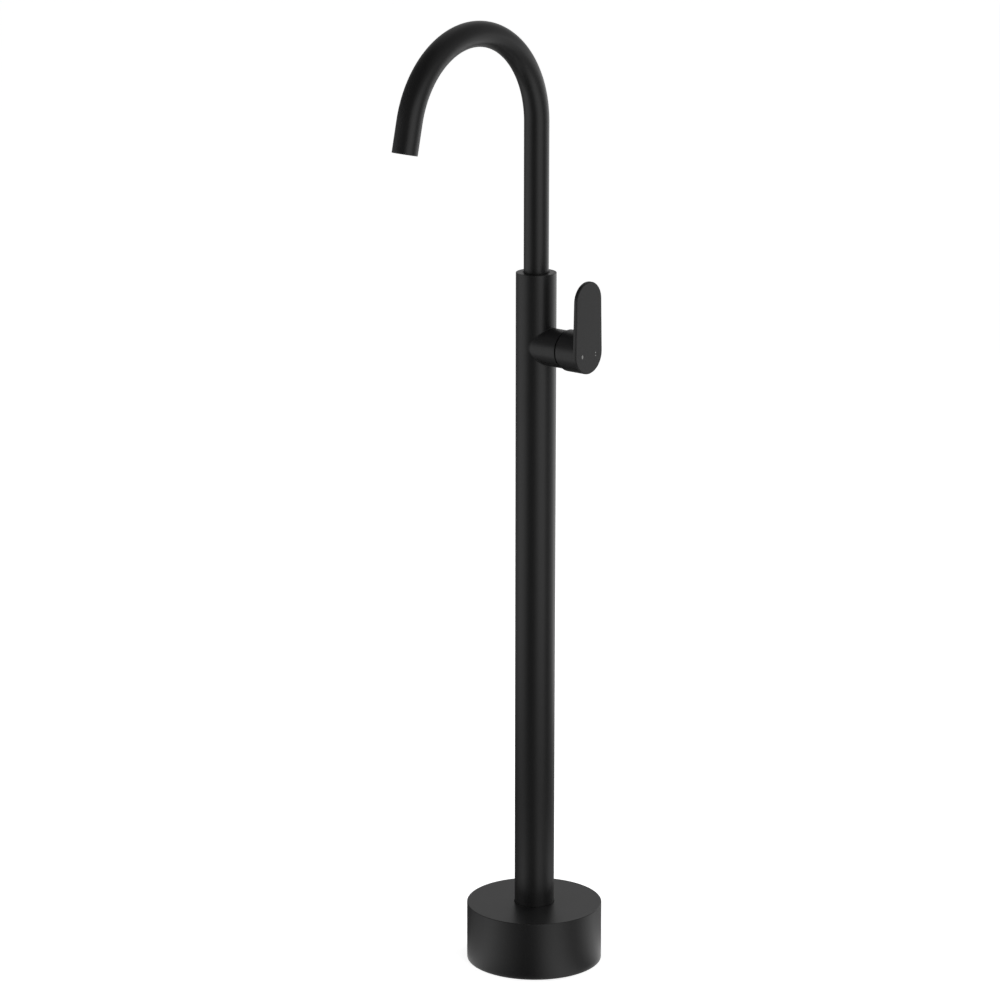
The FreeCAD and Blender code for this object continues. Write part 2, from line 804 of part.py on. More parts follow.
def make_stem_pin():
    pin = Piece("stem_pin")
    half = rotor_radius - d.free_clearance * 2
    pin.pad("YZ_Plane", [circle(d.pivot_pin_radius, y=pivot_distance)], -half, half)
    pin.place_on_lever_axis()
    return pin


def make_cartridge_housing():
    housing = Piece("cartridge_housing")
    lip_bore = rotor_collar_radius + d.running_clearance
    housing.revolve([
        (housing_bore, base_end),
        (cartridge_radius, base_end),
        (cartridge_radius, housing_end),
        (lip_bore, housing_end),
        (lip_bore, housing_lip_start),
        (rotor_bore, housing_lip_start),
        (rotor_bore, housing_shoulder),
        (housing_bore, housing_shoulder),
    ])
    housing.place_on_lever_axis()
    return housing


def make_cartridge_nut():
    nut = Piece("cartridge_nut")
    nut.revolve(tube_corners(nut_bore, cartridge_radius, housing_end, nut_end))
    spanner_slot = rectangle(
        nut_bore - d.nut_length / 2, -d.socket_wall, socket_bore, d.socket_wall
    )
    slot = nut.pocket("XY_Plane", [spanner_slot], nut_end - d.housing_lip, nut_end)
    nut.repeat([slot], NUT_SLOTS)
    nut.place_on_lever_axis()
    return nut


# ---------------------------------------------------------------- lever


def make_lever_stem():
    stem = Piece("lever_stem")
    half = d.stem_width / 2
    block_start = pivot_distance - d.stem_start
    stem.pad("XY_Plane", [rectangle(-half, -half, half, half)], block_start, stem_end)
    stem.revolve(ball_corners(block_start + d.seat_clearance))
    hole = circle(d.pivot_pin_radius + d.running_clearance, y=pivot_distance)
    stem.pocket("YZ_Plane", [hole], -d.stem_width, d.stem_width)
    stem.place_on_lever_axis()
    return stem


def ball_corners(neck_end):
    """The ball in short straight runs from its pole to the neck, and the neck up to the block."""
    step = FULL_TURN / 4 / BALL_STEPS
    neck_angle = math.degrees(math.acos(d.ball_neck_radius.number / d.ball_radius.number))
    corners = [(ZERO, ball_centre - d.ball_radius)]
    angle = step - FULL_TURN / 4
    while angle < neck_angle:
        turn = as_size(angle)
        corners.append((d.ball_radius * cosine(turn), ball_centre + d.ball_radius * sine(turn)))
        angle += step
    corners.append((d.ball_neck_radius, ball_centre + d.ball_radius * sine(as_size(neck_angle))))
    corners.append((d.ball_neck_radius, neck_end))
    corners.append((ZERO, neck_end))
    return corners


def make_handle():
    """The hub and the upright paddle in one piece, with the hub's lower back edge cut away."""
    handle = Piece("handle")
    paddle_back = paddle_face - d.paddle_thickness
    outline = tapered_slot(hub_radius, d.paddle_top_radius, ZERO, ZERO, d.paddle_length)
    handle.pad("XY_Plane", [outline], paddle_back, paddle_face)
    handle.bevel_edges(d.paddle_face_bevel, lambda edge: lies_flat_at(edge, paddle_face))
    handle.bevel_edges(d.paddle_back_bevel, lambda edge: lies_flat_at(edge, paddle_back))
    handle.pad("XY_Plane", [circle(hub_radius)], hub_start, paddle_back + d.paddle_back_bevel)
    handle.bevel_edges(d.hub_edge_bevel, lambda edge: is_circle(edge, hub_radius, hub_start))
    handle.pocket("XY_Plane", [circle(hub_cavity_radius)], hub_start, hub_cavity_end)
    handle.pad("XY_Plane", [circle(d.hub_boss_radius)], hub_boss_start, hub_cavity_end)
    square = d.stem_width / 2 + d.seat_clearance
    square_end = stem_end + d.free_clearance
    handle.pocket("XY_Plane", [rectangle(-square, -square, square, square)], hub_boss_start, square_end)
    low = -hub_radius - d.free_clearance
    relief = polygon([
        (-d.hub_relief_start, hub_start - d.free_clearance),
        (-d.hub_relief_start, hub_start),
        (low, hub_start + d.hub_relief_depth),
        (low, hub_start - d.free_clearance),
    ])
    handle.pocket("YZ_Plane", [relief], -hub_radius * 2, hub_radius * 2)
    screw_way = circle(d.handle_screw_radius + d.seat_clearance, y=handle_screw_distance)
    handle.pocket("XZ_Plane", [screw_way], ZERO, hub_radius * 2)
    handle.place_on_lever_axis()
    return handle


def lies_flat_at(edge, height):
    """Does the whole edge lie in the plane at this height?"""
    box = edge.BoundBox
    return abs(box.ZMin - height.number) < NEAR and abs(box.ZMax - height.number) < NEAR


def make_handle_screw():
    screw = Piece("handle_screw")
    start = d.stem_width / 2
    end = start + d.handle_screw_length
    shank = circle(d.handle_screw_radius, y=handle_screw_distance)
    screw.pad("XZ_Plane", [shank], start, end)
    key = hexagon(d.handle_screw_radius * KEY_SHARE, y=handle_screw_distance)
    screw.pocket("XZ_Plane", [key], end - d.handle_screw_radius, end)
    screw.place_on_lever_axis()
    return screw


def make_screw_plug():
    plug = Piece("screw_plug")
    end = hub_radius - d.seat_clearance * 3
    button = circle(d.handle_screw_radius, y=handle_screw_distance)
    plug.pad("XZ_Plane", [button], end - d.plug_thickness, end)
    plug.place_on_lever_axis()
    return plug


def make_temperature_marks():
    """One small bar and two small dots, thin inlays on the face of the handle."""
    marks = Piece("temperature_marks")
    face = paddle_face
    half = d.mark_width / 2
    reach = (d.mark_height - d.mark_width) / 2
    bar = tapered_slot(half, half, -d.mark_side, -d.mark_drop - reach, -d.mark_drop + reach)
    dots = [
        circle(half, x=d.mark_side, y=-d.mark_drop + d.dot_spacing / 2),
        circle(half, x=d.mark_side, y=-d.mark_drop - d.dot_spacing / 2),
    ]
    marks.pad("XY_Plane", [bar] + dots, face, face + d.mark_thickness)
    marks.place_on_lever_axis()
    return marks


# ---------------------------------------------------------------- spout


def make_spout_socket():
    socket = Piece("spout_socket")
    chamber = spigot_bottom - d.free_clearance
    socket.revolve([
        (d.outlet_pipe_radius + d.seat_clearance, socket_bottom),
        (insert_radius, socket_bottom),
        (insert_radius, column_top),
        (bush_outer_radius + d.seat_clearance, column_top),
        (bush_outer_radius + d.seat_clearance, bush_bottom),
        (spigot_hole_radius, bush_bottom),
        (spigot_hole_radius, chamber),
        (outlet_pipe_bore, chamber),
        (outlet_pipe_bore, outlet_pipe_seat),
        (d.outlet_pipe_radius + d.seat_clearance, outlet_pipe_seat),
    ])
    thread = circle(d.lock_screw_radius, y=lock_screw_height)
    socket.pocket("XZ_Plane", [thread], -column_radius, ZERO)
    socket.place()
    return socket


def make_spout_bush():
    bush = Piece("spout_bush")
    bush.revolve(tube_corners(spigot_hole_radius, bush_outer_radius, bush_bottom, bush_top))
    bush.place()
    return bush


def make_spout_lock_screw():
    """A grub screw at the back of the column. Its tip runs in the spigot's groove."""
    screw = Piece("spout_lock_screw")
    tip = spout_radius - d.lock_groove_depth + d.free_clearance
    head = column_radius - d.free_clearance
    shank = circle(d.lock_screw_radius - d.seat_clearance, y=lock_screw_height)
    screw.pad("XZ_Plane", [shank], -head, -tip)
    key = hexagon(d.lock_screw_radius * KEY_SHARE, y=lock_screw_height)
    screw.pocket("XZ_Plane", [key], -head, -head + d.lock_screw_radius)
    screw.place()
    return screw


seal_groove_bottom = spigot_bottom + d.seal_groove_start
seal_groove_top = seal_groove_bottom + d.seal_groove_width


def make_spout_spigot():
    """Turned to stay in the column: a groove for the seal and one for the lock screw."""
    spigot = Piece("spout_spigot")
    seal_floor = spout_radius - d.seal_groove_depth
    lock_floor = spout_radius - d.lock_groove_depth
    lock_half = d.lock_screw_radius + d.running_clearance
    lock_low = lock_screw_height - lock_half
    lock_high = lock_screw_height + lock_half
    spigot.revolve([
        (d.spigot_bore, spigot_bottom),
        (spout_radius, spigot_bottom),
        (spout_radius, seal_groove_bottom),
        (seal_floor, seal_groove_bottom),
        (seal_floor, seal_groove_top),
        (spout_radius, seal_groove_top),
        (spout_radius, lock_low),
        (lock_floor, lock_low),
        (lock_floor, lock_high),
        (spout_radius, lock_high),
        (spout_radius, spout_tube_start),
        (shank_radius, spout_tube_start),
        (shank_radius, spout_tube_start + d.spigot_shank),
        (d.spigot_bore, spout_tube_start + d.spigot_shank),
    ])
    spigot.place()
    return spigot


def make_spout_seal():
    """A lip seal in the spigot's groove, open towards the water below."""
    seal = Piece("spout_seal")
    inner = spout_radius - d.seal_groove_depth
    outer = spigot_hole_radius - d.face_clearance
    middle = (inner + outer) / 2
    seal.revolve([
        (inner, seal_groove_bottom),
        (middle, seal_groove_bottom + d.seal_lip_depth),
        (outer, seal_groove_bottom),
        (outer, seal_groove_top),
        (inner, seal_groove_top),
    ])
    seal.place()
    return seal


def spout_path(sketch):
    """Draws the riser, the long bend and the straight tip as one tangent line."""
    riser = spout_riser_top - spout_tube_start
    sweep = math.radians(d.spout_bend_angle.number)
    bend = d.spout_bend_radius.number
    centre = FreeCAD.Vector(-bend, riser.number, 0)
    bend_circle = Part.Circle(centre, FreeCAD.Vector(0, 0, 1), bend)
    bend_end = centre + FreeCAD.Vector(math.cos(sweep), math.sin(sweep), 0) * bend
    heading = FreeCAD.Vector(-math.sin(sweep), math.cos(sweep), 0)
    tip = bend_end + heading * d.spout_tip_length.number
    bottom = FreeCAD.Vector(0, 0, 0)
    sketch.addGeometry(Part.LineSegment(bottom, FreeCAD.Vector(0, riser.number, 0)), False)
    sketch.addGeometry(Part.ArcOfCircle(bend_circle, 0, sweep), False)
    sketch.addGeometry(Part.LineSegment(bend_end, tip), False)
    sketch.addConstraint(Sketcher.Constraint("Coincident", 0, 1, -1, 1))
    sketch.addConstraint(Sketcher.Constraint("Vertical", 0))
    sketch.addConstraint(Sketcher.Constraint("Tangent", 0, 2, 1, 1))
    sketch.addConstraint(Sketcher.Constraint("Tangent", 1, 2, 2, 1))
    bind(sketch, "DistanceY", (0, 1, 0, 2), riser)
    bind(sketch, "Radius", (1,), d.spout_bend_radius)
    bind(sketch, "Distance", (2,), d.spout_tip_length)
    angle = sketch.addConstraint(Sketcher.Constraint("Angle", 1, sweep))
    sketch.setExpression(f"Constraints[{angle}]", d.spout_bend_angle.formula)


def make_spout_tube():
    tube = Piece("spout_tube")
    path = tube.sketch("YZ_Plane", [spout_path])
    path.Visibility = False
    section = tube.sketch("XY_Plane", [circle(spout_radius), circle(spout_bore)])
    pipe = tube.feature("AdditivePipe", section)
    pipe.Spine = (path, [])
    tube.finish(pipe, cuts=False)
    tube.place(z=spout_tube_start)
    return tube


outlet_tilt = as_size(FULL_TURN / 2) - d.spout_bend_angle
outlet_reach = (
    d.spout_bend_radius - d.spout_bend_radius * cosine(d.spout_bend_angle)
    + d.spout_tip_length * sine(d.spout_bend_angle)
)
outlet_centre_height = (
    spout_riser_top + d.spout_bend_radius * sine(d.spout_bend_angle)
    + d.spout_tip_length * cosine(d.spout_bend_angle)
)


def place_at_outlet(piece):
    """Puts the body's origin at the centre of the outlet, with its Z pointing back up the tube."""
    turn = FreeCAD.Rotation(FreeCAD.Vector(1, 0, 0), -outlet_tilt.number)
    piece.body.Placement = FreeCAD.Placement(FreeCAD.Vector(0, 0, 0), turn)
    piece.place(y=-outlet_reach, z=outlet_centre_height)


aerator_radius = spout_bore - d.seat_clearance
aerator_bore = aerator_radius - d.aerator_wall
aerator_end = d.aerator_recess + d.aerator_length


def make_aerator_housing():
    housing = Piece("aerator_housing")
    housing.revolve(tube_corners(aerator_bore, aerator_radius, d.aerator_recess, aerator_end))
    place_at_outlet(housing)
    return housing


def make_aerator_insert():
    """The jet former: a cup with a ring of holes and one in the middle."""
    insert = Piece("aerator_insert")
    start = d.aerator_recess + d.aerator_wall
    end = start + d.aerator_insert_length
    insert.pad("XY_Plane", [circle(aerator_bore - d.seat_clearance)], start, end)
    middle = circle(d.aerator_hole_radius)
    insert.pocket("XY_Plane", [middle], start, end)
    hole = circle(d.aerator_hole_radius, x=d.aerator_hole_circle)
    insert.repeat([insert.pocket("XY_Plane", [hole], start, end)], AERATOR_HOLES)
    place_at_outlet(insert)
    return insert


def make_aerator_washer():
    washer = Piece("aerator_washer")
    end = aerator_end + d.washer_thickness
    washer.revolve(tube_corners(d.washer_bore, aerator_radius, aerator_end, end))
    place_at_outlet(washer)
    return washer


# ---------------------------------------------------------------- the whole filler

pieces = [
    make_floor_gasket(),
    make_floor_plate(),
    make_clamp_collar(),
    make_clamp_screws(),
    make_cover_skirt(),
    make_cover_top(),
    make_cover_seal(),
    make_column_tube(),
    make_column_foot(),
    make_check_valves(),
    make_supply_pipe("hot_pipe", -pipe_side),
    make_supply_pipe("cold_pipe", pipe_side),
    make_valve_body(),
    make_outlet_pipe(),
    make_side_housing(),
    make_cartridge_socket(),
    make_cartridge_base(),
    make_port_seals(),
    make_fixed_disc(),
    make_moving_disc(),
    make_disc_carrier(),
    make_cartridge_rotor(),
    make_stem_pin(),
    make_cartridge_housing(),
    make_cartridge_nut(),
    make_lever_stem(),
    make_handle(),
    make_handle_screw(),
    make_screw_plug(),
    make_temperature_marks(),
    make_spout_socket(),
    make_spout_bush(),
    make_spout_lock_screw(),
    make_spout_spigot(),
    make_spout_seal(),
    make_spout_tube(),
    make_aerator_housing(),
    make_aerator_insert(),
    make_aerator_washer(),
]
doc.recompute()

for item in doc.Objects:
    if "Invalid" in item.State or "Error" in item.State:
        raise RuntimeError(f"{item.Name} failed: {item.State}")
for piece in pieces:
    shape = piece.body.Shape
    if shape.isNull() or not shape.isValid():
        raise RuntimeError(f"{piece.body.Label} has no valid shape")

os.makedirs("parts", exist_ok=True)
for piece in pieces:
    shape = piece.body.Shape
    shape.exportStep(os.path.join("parts", f"{piece.body.Label}.step"))
    print(f"{piece.body.Label}: {len(shape.Solids)} solid(s), {shape.Volume:.0f} mm3")
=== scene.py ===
# %% [markdown]
# # A floor standing bath filler
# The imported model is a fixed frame: every piece below is made in metres, in that same frame.
# The column stands on the origin, +Z is up, the spout arches towards -Y and the lever points to +X.

# %% Load the frame
import math
from functools import partial

import bmesh
import bpy
from mathutils import Matrix, Vector


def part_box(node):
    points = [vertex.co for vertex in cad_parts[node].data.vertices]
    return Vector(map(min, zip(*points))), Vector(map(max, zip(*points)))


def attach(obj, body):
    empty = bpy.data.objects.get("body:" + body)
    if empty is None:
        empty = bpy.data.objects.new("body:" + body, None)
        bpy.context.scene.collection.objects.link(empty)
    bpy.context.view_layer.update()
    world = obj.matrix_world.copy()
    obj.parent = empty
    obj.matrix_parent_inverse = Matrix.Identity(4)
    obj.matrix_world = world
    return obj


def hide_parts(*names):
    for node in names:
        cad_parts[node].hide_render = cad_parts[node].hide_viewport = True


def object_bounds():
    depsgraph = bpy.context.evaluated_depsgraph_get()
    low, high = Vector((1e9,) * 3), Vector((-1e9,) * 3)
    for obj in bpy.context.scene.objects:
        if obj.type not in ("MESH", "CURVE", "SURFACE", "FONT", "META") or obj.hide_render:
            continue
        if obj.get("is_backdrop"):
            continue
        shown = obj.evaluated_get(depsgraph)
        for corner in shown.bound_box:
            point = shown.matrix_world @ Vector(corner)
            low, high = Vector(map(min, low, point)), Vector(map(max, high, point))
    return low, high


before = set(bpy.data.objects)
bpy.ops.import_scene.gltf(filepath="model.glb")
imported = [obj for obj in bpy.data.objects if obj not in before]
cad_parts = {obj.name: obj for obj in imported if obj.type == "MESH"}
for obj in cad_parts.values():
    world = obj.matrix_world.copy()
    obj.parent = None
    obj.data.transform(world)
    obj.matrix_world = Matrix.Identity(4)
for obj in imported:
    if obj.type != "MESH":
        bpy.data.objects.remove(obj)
cad_low, cad_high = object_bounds()
print("model box", [round(v, 4) for v in cad_low], [round(v, 4) for v in cad_high])

# %% [markdown]
# ## The camera
# The picture was taken from in front of the lever and a little above, with a long lens.
# The place and the lens were fitted to the straight column, the round cover and the arch.
# A long lens far away keeps the column's sides almost parallel, as they are in the picture.

# %% Camera
camera_data = bpy.data.cameras.new("camera")
camera_data.sensor_width = 36.0
camera_data.lens = 137.27
camera_data.clip_end = 60.0
camera = bpy.data.objects.new("camera", camera_data)
bpy.context.scene.collection.objects.link(camera)
camera_place = Vector((2.6174, -3.1809, 1.6018))
view_direction = Vector((-0.62247, 0.74183, -0.24943))
upright = view_direction.to_track_quat("-Z", "Y").to_matrix().to_4x4()
roll = Matrix.Rotation(math.radians(0.0455), 4, "Z")
camera.matrix_world = Matrix.Translation(camera_place) @ upright @ roll
bpy.context.scene.camera = camera
bpy.context.scene.view_settings.view_transform = "Standard"
print("camera", [round(v, 3) for v in camera.location], "lens", camera_data.lens)


# %% [markdown]
# ## The studio
# A dark matte coat shows little colour of its own. What makes it readable is what it mirrors:
# pale cards with dark gaps between them. The lamps add a little plain light, and no mirror image.
# Angles are counted round the column from the camera, positive to the right in the picture.

# %% Places round the column
camera_angle = math.atan2(camera_place.y, camera_place.x)


def round_the_column(angle, distance, height):
    """A point at an angle from the camera's side, a distance and a height."""
    turn = camera_angle + math.radians(angle)
    return Vector((math.cos(turn) * distance, math.sin(turn) * distance, height))


def make_object(name, mesh):
    made = bpy.data.objects.new(name, mesh)
    bpy.context.scene.collection.objects.link(made)
    return made


# %% [markdown]
# Every shader and every rule below is a tree of nodes. These helpers add one node with its
# settings, one Math node, or a whole group with named inputs.

# %% Helpers for node trees
def fill(tree, socket, value):
    """Gives an input socket its value, or links it when the value is another node's output."""
    if hasattr(value, "node"):
        tree.links.new(value, socket)
    else:
        socket.default_value = value


def add_node(tree, kind, place=(0, 0), **settings):
    """A node of this kind, with its attributes and inputs set by name."""
    node = tree.nodes.new(kind)
    node.location = place
    for name, value in settings.items():
        if hasattr(node, name):
            setattr(node, name, value)
        else:
            fill(tree, node.inputs[name.replace("_", " ")], value)
    return node


def math_node(tree, operation, first, second=None, clamp=False):
    """The result of a Math node, its inputs given as numbers or as sockets."""
    node = add_node(tree, "ShaderNodeMath", operation=operation, use_clamp=clamp)
    fill(tree, node.inputs[0], first)
    if second is not None:
        fill(tree, node.inputs[1], second)
    return node.outputs[0]


def new_group(name, inputs, outputs):
    """A shader node group with named number inputs and named outputs."""
    group = bpy.data.node_groups.new(name, "ShaderNodeTree")
    group.interface.new_socket("Vector", in_out="INPUT", socket_type="NodeSocketVector")
    for label, value in inputs:
        socket = group.interface.new_socket(label, in_out="INPUT", socket_type="NodeSocketFloat")
        socket.default_value = value
    for label in outputs:
        group.interface.new_socket(label, in_out="OUTPUT", socket_type="NodeSocketFloat")
    entry = group.nodes.new("NodeGroupInput")
    leaving = group.nodes.new("NodeGroupOutput")
    return group, entry, leaving


# %% [markdown]
# The floor and what lies behind it are plain white. To the camera, to glossy rays and through
# glass they give a light of their own, so the picture's white needs no extra lamps. A diffuse
# part is added to that light, and there the object still throws a soft shadow.

# %% Floor and world
white = (1.0, 1.0, 1.0, 1.0)
paper_shade, floor_glow, dim_light = 0.85, 0.62, 0.45


def white_surroundings(tree, output_type, plain, bright):
    """Shows the bright look to camera, glossy and transmission rays, else the plain one."""
    path = tree.nodes.new("ShaderNodeLightPath").outputs
    seen = math_node(tree, "MAXIMUM", path["Is Camera Ray"], path["Is Glossy Ray"])
    seen = math_node(tree, "MAXIMUM", seen, path["Is Transmission Ray"])
    mix = tree.nodes.new("ShaderNodeMixShader")
    output = tree.nodes.new(output_type)
    tree.links.new(seen, mix.inputs[0])
    tree.links.new(plain.outputs[0], mix.inputs[1])
    tree.links.new(bright.outputs[0], mix.inputs[2])
    tree.links.new(mix.outputs[0], output.inputs[0])


floor_material = bpy.data.materials.new("studio_floor")
floor_material.use_nodes = True
tree = floor_material.node_tree
tree.nodes.clear()
paper = add_node(tree, "ShaderNodeBsdfDiffuse", Color=(paper_shade, paper_shade, paper_shade, 1.0))
glow = add_node(tree, "ShaderNodeEmission", Color=white, Strength=floor_glow)
both = tree.nodes.new("ShaderNodeAddShader")
tree.links.new(paper.outputs[0], both.inputs[0])
tree.links.new(glow.outputs[0], both.inputs[1])
white_surroundings(tree, "ShaderNodeOutputMaterial", paper, both)

world = bpy.data.worlds.new("studio_world")
world.use_nodes = True
bpy.context.scene.world = world
tree = world.node_tree
tree.nodes.clear()
dim_sky = add_node(tree, "ShaderNodeBackground", Color=white, Strength=dim_light)
white_sky = add_node(tree, "ShaderNodeBackground", Color=white)
white_surroundings(tree, "ShaderNodeOutputWorld", dim_sky, white_sky)

floor_mesh = bpy.data.meshes.new("studio_floor")
floor_reach, floor_level = 9.0, -0.0003
floor_corners = [(-1, -1), (1, -1), (1, 1), (-1, 1)]
floor_points = [(x * floor_reach, y * floor_reach, floor_level) for x, y in floor_corners]
floor_mesh.from_pydata(floor_points, [], [(0, 1, 2, 3)])
floor = make_object("studio_floor", floor_mesh)
floor_mesh.materials.append(floor_material)
floor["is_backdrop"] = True


# %% [markdown]
# What the coat mirrors is a ring of cards: they lie on the floor and turn up into a wall and a
# roof, like a bowl round the object. Some cards are pale and some are dark, and each fades into
# the next, so the coat gets soft stripes. Only glossy rays meet the bowl.
# A table gives the light of a card at each angle. There is one for the floor near the object, one
# for the wall, one for the band above it and one for the roof. The bowl's profile then says, row by
# row, how far out and how high the row lies, which table it takes, and how much of its light.

# %% Card bowl
near_shades = [
    (-180, 0.30), (-150, 0.10), (-124, 0.05), (-106, 0.24), (-86, 0.50), (-73, 0.78), (-61, 0.84),
    (-51, 0.66), (-42, 0.48), (-33, 0.32), (-25, 0.20), (-16, 0.08), (-8, 0.03), (0, 0.08),
    (8, 0.32), (16, 0.66), (25, 0.90), (33, 0.86), (42, 0.64), (51, 0.36), (61, 0.30), (72, 0.56),
    (84, 0.85), (99, 0.95), (112, 0.60), (124, 0.35), (150, 0.30), (180, 0.30),
]
card_shades = [
    (-180, 0.36), (-160, 0.22), (-140, 0.12), (-120, 0.28), (-105, 0.66), (-72, 0.78), (-58, 0.55),
    (-46, 0.22), (-36, 0.04), (-14, 0.03), (-2, 0.20), (9, 0.52), (20, 0.98), (50, 0.98),
    (59, 0.50), (67, 0.14), (80, 0.16), (90, 0.42), (101, 0.68), (112, 0.85), (126, 1.20),
    (142, 1.40), (156, 0.80), (170, 0.40), (180, 0.36),
]
upper_shades = [
    (-180, 0.56), (-150, 0.30), (-120, 0.08), (-60, 0.05), (-3, 0.08), (6, 0.55), (14, 1.05),
    (42, 1.10), (58, 0.60), (75, 0.30), (110, 0.32), (140, 0.38), (160, 0.60), (180, 0.56),
]
roof_shades = [
    (-180, 0.50), (-150, 0.30), (-120, 0.08), (-60, 0.05), (0, 0.03), (30, 0.14), (50, 0.20),
    (80, 0.22), (110, 0.28), (140, 0.30), (160, 0.45), (180, 0.50),
]
bowl_profile = [
    (0.081, -0.0002, near_shades, 1.0), (0.30, -0.0002, near_shades, 1.0),
    (0.46, -0.0002, card_shades, 0.25), (0.85, -0.0002, card_shades, 0.25),
    (1.05, -0.0002, card_shades, 1.0), (2.30, -0.0002, card_shades, 1.0),
    (2.55, 0.5, card_shades, 1.0), (2.60, 0.95, card_shades, 1.0), (2.60, 1.3, upper_shades, 1.0),
    (2.57, 1.75, upper_shades, 1.0), (2.45, 2.3, roof_shades, 1.0), (1.80, 3.0, roof_shades, 0.9),
    (0.70, 3.4, roof_shades, 0.8), (0.01, 3.5, roof_shades, 0.7),
]


def shade_at(shades, angle):
    """The shade at this angle, between the two nearest entries of the table."""
    for (here, shade), (there, following) in zip(shades, shades[1:]):
        if here <= angle <= there:
            return shade + (following - shade) * (angle - here) / (there - here)
    return shades[0][1]


bowl_steps = 180
points, bowl_shades, faces = [], [], []
for step in range(bowl_steps):
    angle = 360.0 * step / bowl_steps - 180.0
    for distance, height, shades, share in bowl_profile:
        points.append(round_the_column(angle, distance, height))
        bowl_shades.append(shade_at(shades, angle) * share)
for step in range(bowl_steps):
    for row in range(len(bowl_profile) - 1):
        first = step * len(bowl_profile) + row
        after = (step + 1) % bowl_steps * len(bowl_profile) + row
        faces.append((first, first + 1, after + 1, after))
bowl_mesh = bpy.data.meshes.new("card_bowl")
bowl_mesh.from_pydata(points, [], faces)
layer = bowl_mesh.attributes.new("shade", "FLOAT", "POINT")
layer.data.foreach_set("value", bowl_shades)
bowl_material = bpy.data.materials.new("card_bowl")
bowl_material.use_nodes = True
tree = bowl_material.node_tree
tree.nodes.clear()
card_shade = add_node(tree, "ShaderNodeAttribute", attribute_name="shade")
card_light = add_node(tree, "ShaderNodeEmission", Color=white)
tree.links.new(card_shade.outputs["Fac"], card_light.inputs["Strength"])
output = tree.nodes.new("ShaderNodeOutputMaterial")
tree.links.new(card_light.outputs[0], output.inputs[0])
bowl_mesh.materials.append(bowl_material)
bowl = make_object("card_bowl", bowl_mesh)
for kind in ("camera", "diffuse", "shadow", "transmission"):
    setattr(bowl, "visible_" + kind, False)
bowl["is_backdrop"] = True
print("card bowl", len(faces), "faces")


# %% [markdown]
# Three soft boxes add plain light from the left, the right and behind. Glossy rays miss them, so
# they leave no bright spot in the coat.

# %% Lamps
lamp_aim = Vector((0.0, 0.0, 0.55))


def soft_box(name, angle, distance, height, width, tall, power):
    """A rectangular lamp that faces the middle of the column."""
    lamp = bpy.data.lights.new(name, "AREA")
    lamp.shape = "RECTANGLE"
    lamp.size = width
    lamp.size_y = tall
    lamp.energy = power
    box = bpy.data.objects.new(name, lamp)
    box.visible_glossy = False
    bpy.context.scene.collection.objects.link(box)
    place = round_the_column(angle, distance, height)
    aim = (lamp_aim - place).to_track_quat("-Z", "Y")
    box.matrix_world = Matrix.Translation(place) @ aim.to_matrix().to_4x4()


soft_box("soft_box_left", -85.0, 2.6, 1.4, 1.6, 2.2, 26.0)
soft_box("soft_box_right", 32.0, 2.8, 1.5, 0.7, 2.0, 10.0)
soft_box("soft_box_behind", 128.0, 2.4, 1.3, 1.0, 2.2, 26.0)

# %% [markdown]
# ## Shared surface effects
# Three effects come back in several finishes, so each is a node group with its own inputs: the
# fine orange peel of a sprayed coat, the rings that a lathe leaves, and the grain of moulded parts.

# %% [markdown]
# A powder coat or a sprayed coat is never quite flat: it has a fine peel, and its gloss differs a
# little from place to place. Two noises do this, a fine one for height and a wide one for gloss.

# %% Coat grain
coat_grain, entry, leaving = new_group(
    "Coat Grain", [("Peel size", 0.0006), ("Gloss patches", 9.0), ("Spread", 0.05)],
    ["Height", "Roughness shift"],
)
where = entry.outputs["Vector"]
per_metre = math_node(coat_grain, "DIVIDE", 1.0, entry.outputs["Peel size"])
peel = add_node(
    coat_grain, "ShaderNodeTexNoise", Detail=2.0, Roughness=0.55, Vector=where, Scale=per_metre
)
patches = add_node(
    coat_grain, "ShaderNodeTexNoise", Detail=3.0, Roughness=0.6, Vector=where,
    Scale=entry.outputs["Gloss patches"],
)
centred = math_node(coat_grain, "SUBTRACT", patches.outputs["Fac"], 0.5)
shift = math_node(coat_grain, "MULTIPLY", centred, entry.outputs["Spread"])
fill(coat_grain, leaving.inputs["Height"], peel.outputs["Fac"])
fill(coat_grain, leaving.inputs["Roughness shift"], shift)

# %% [markdown]
# A turned part keeps the fine grooves of the cutting tool. They run round the part's axis, so the
# pattern depends on the height along that axis, with a noise that makes the pitch uneven.

# %% Turned lines
turned_lines, entry, leaving = new_group(
    "Turned Lines", [("Pitch", 0.0004), ("Unevenness", 0.3)], ["Height", "Roughness shift"]
)
reckon = partial(math_node, turned_lines)
split = add_node(turned_lines, "ShaderNodeSeparateXYZ", Vector=entry.outputs["Vector"]).outputs
along = add_node(turned_lines, "ShaderNodeCombineXYZ", Z=split["Z"])
wander = add_node(
    turned_lines, "ShaderNodeTexNoise", Scale=900.0, Detail=1.0, Vector=along.outputs[0]
)
uneven = reckon("MULTIPLY", wander.outputs["Fac"], entry.outputs["Unevenness"])
turns = reckon("DIVIDE", split["Z"], entry.outputs["Pitch"])
phase = reckon("ADD", turns, reckon("MULTIPLY", uneven, 6.0))
wave = reckon("SINE", reckon("MULTIPLY", phase, math.tau))
half_wave = reckon("MULTIPLY", wave, 0.5)
fill(turned_lines, leaving.inputs["Height"], reckon("ADD", half_wave, 0.5))
fill(turned_lines, leaving.inputs["Roughness shift"], reckon("MULTIPLY", half_wave, 0.06))

# %% [markdown]
# Moulded plastic and rubber take the fine texture of the mould. A cell pattern mixed with a noise
# gives that skin, and the same value makes the gloss a little lower in the pits.

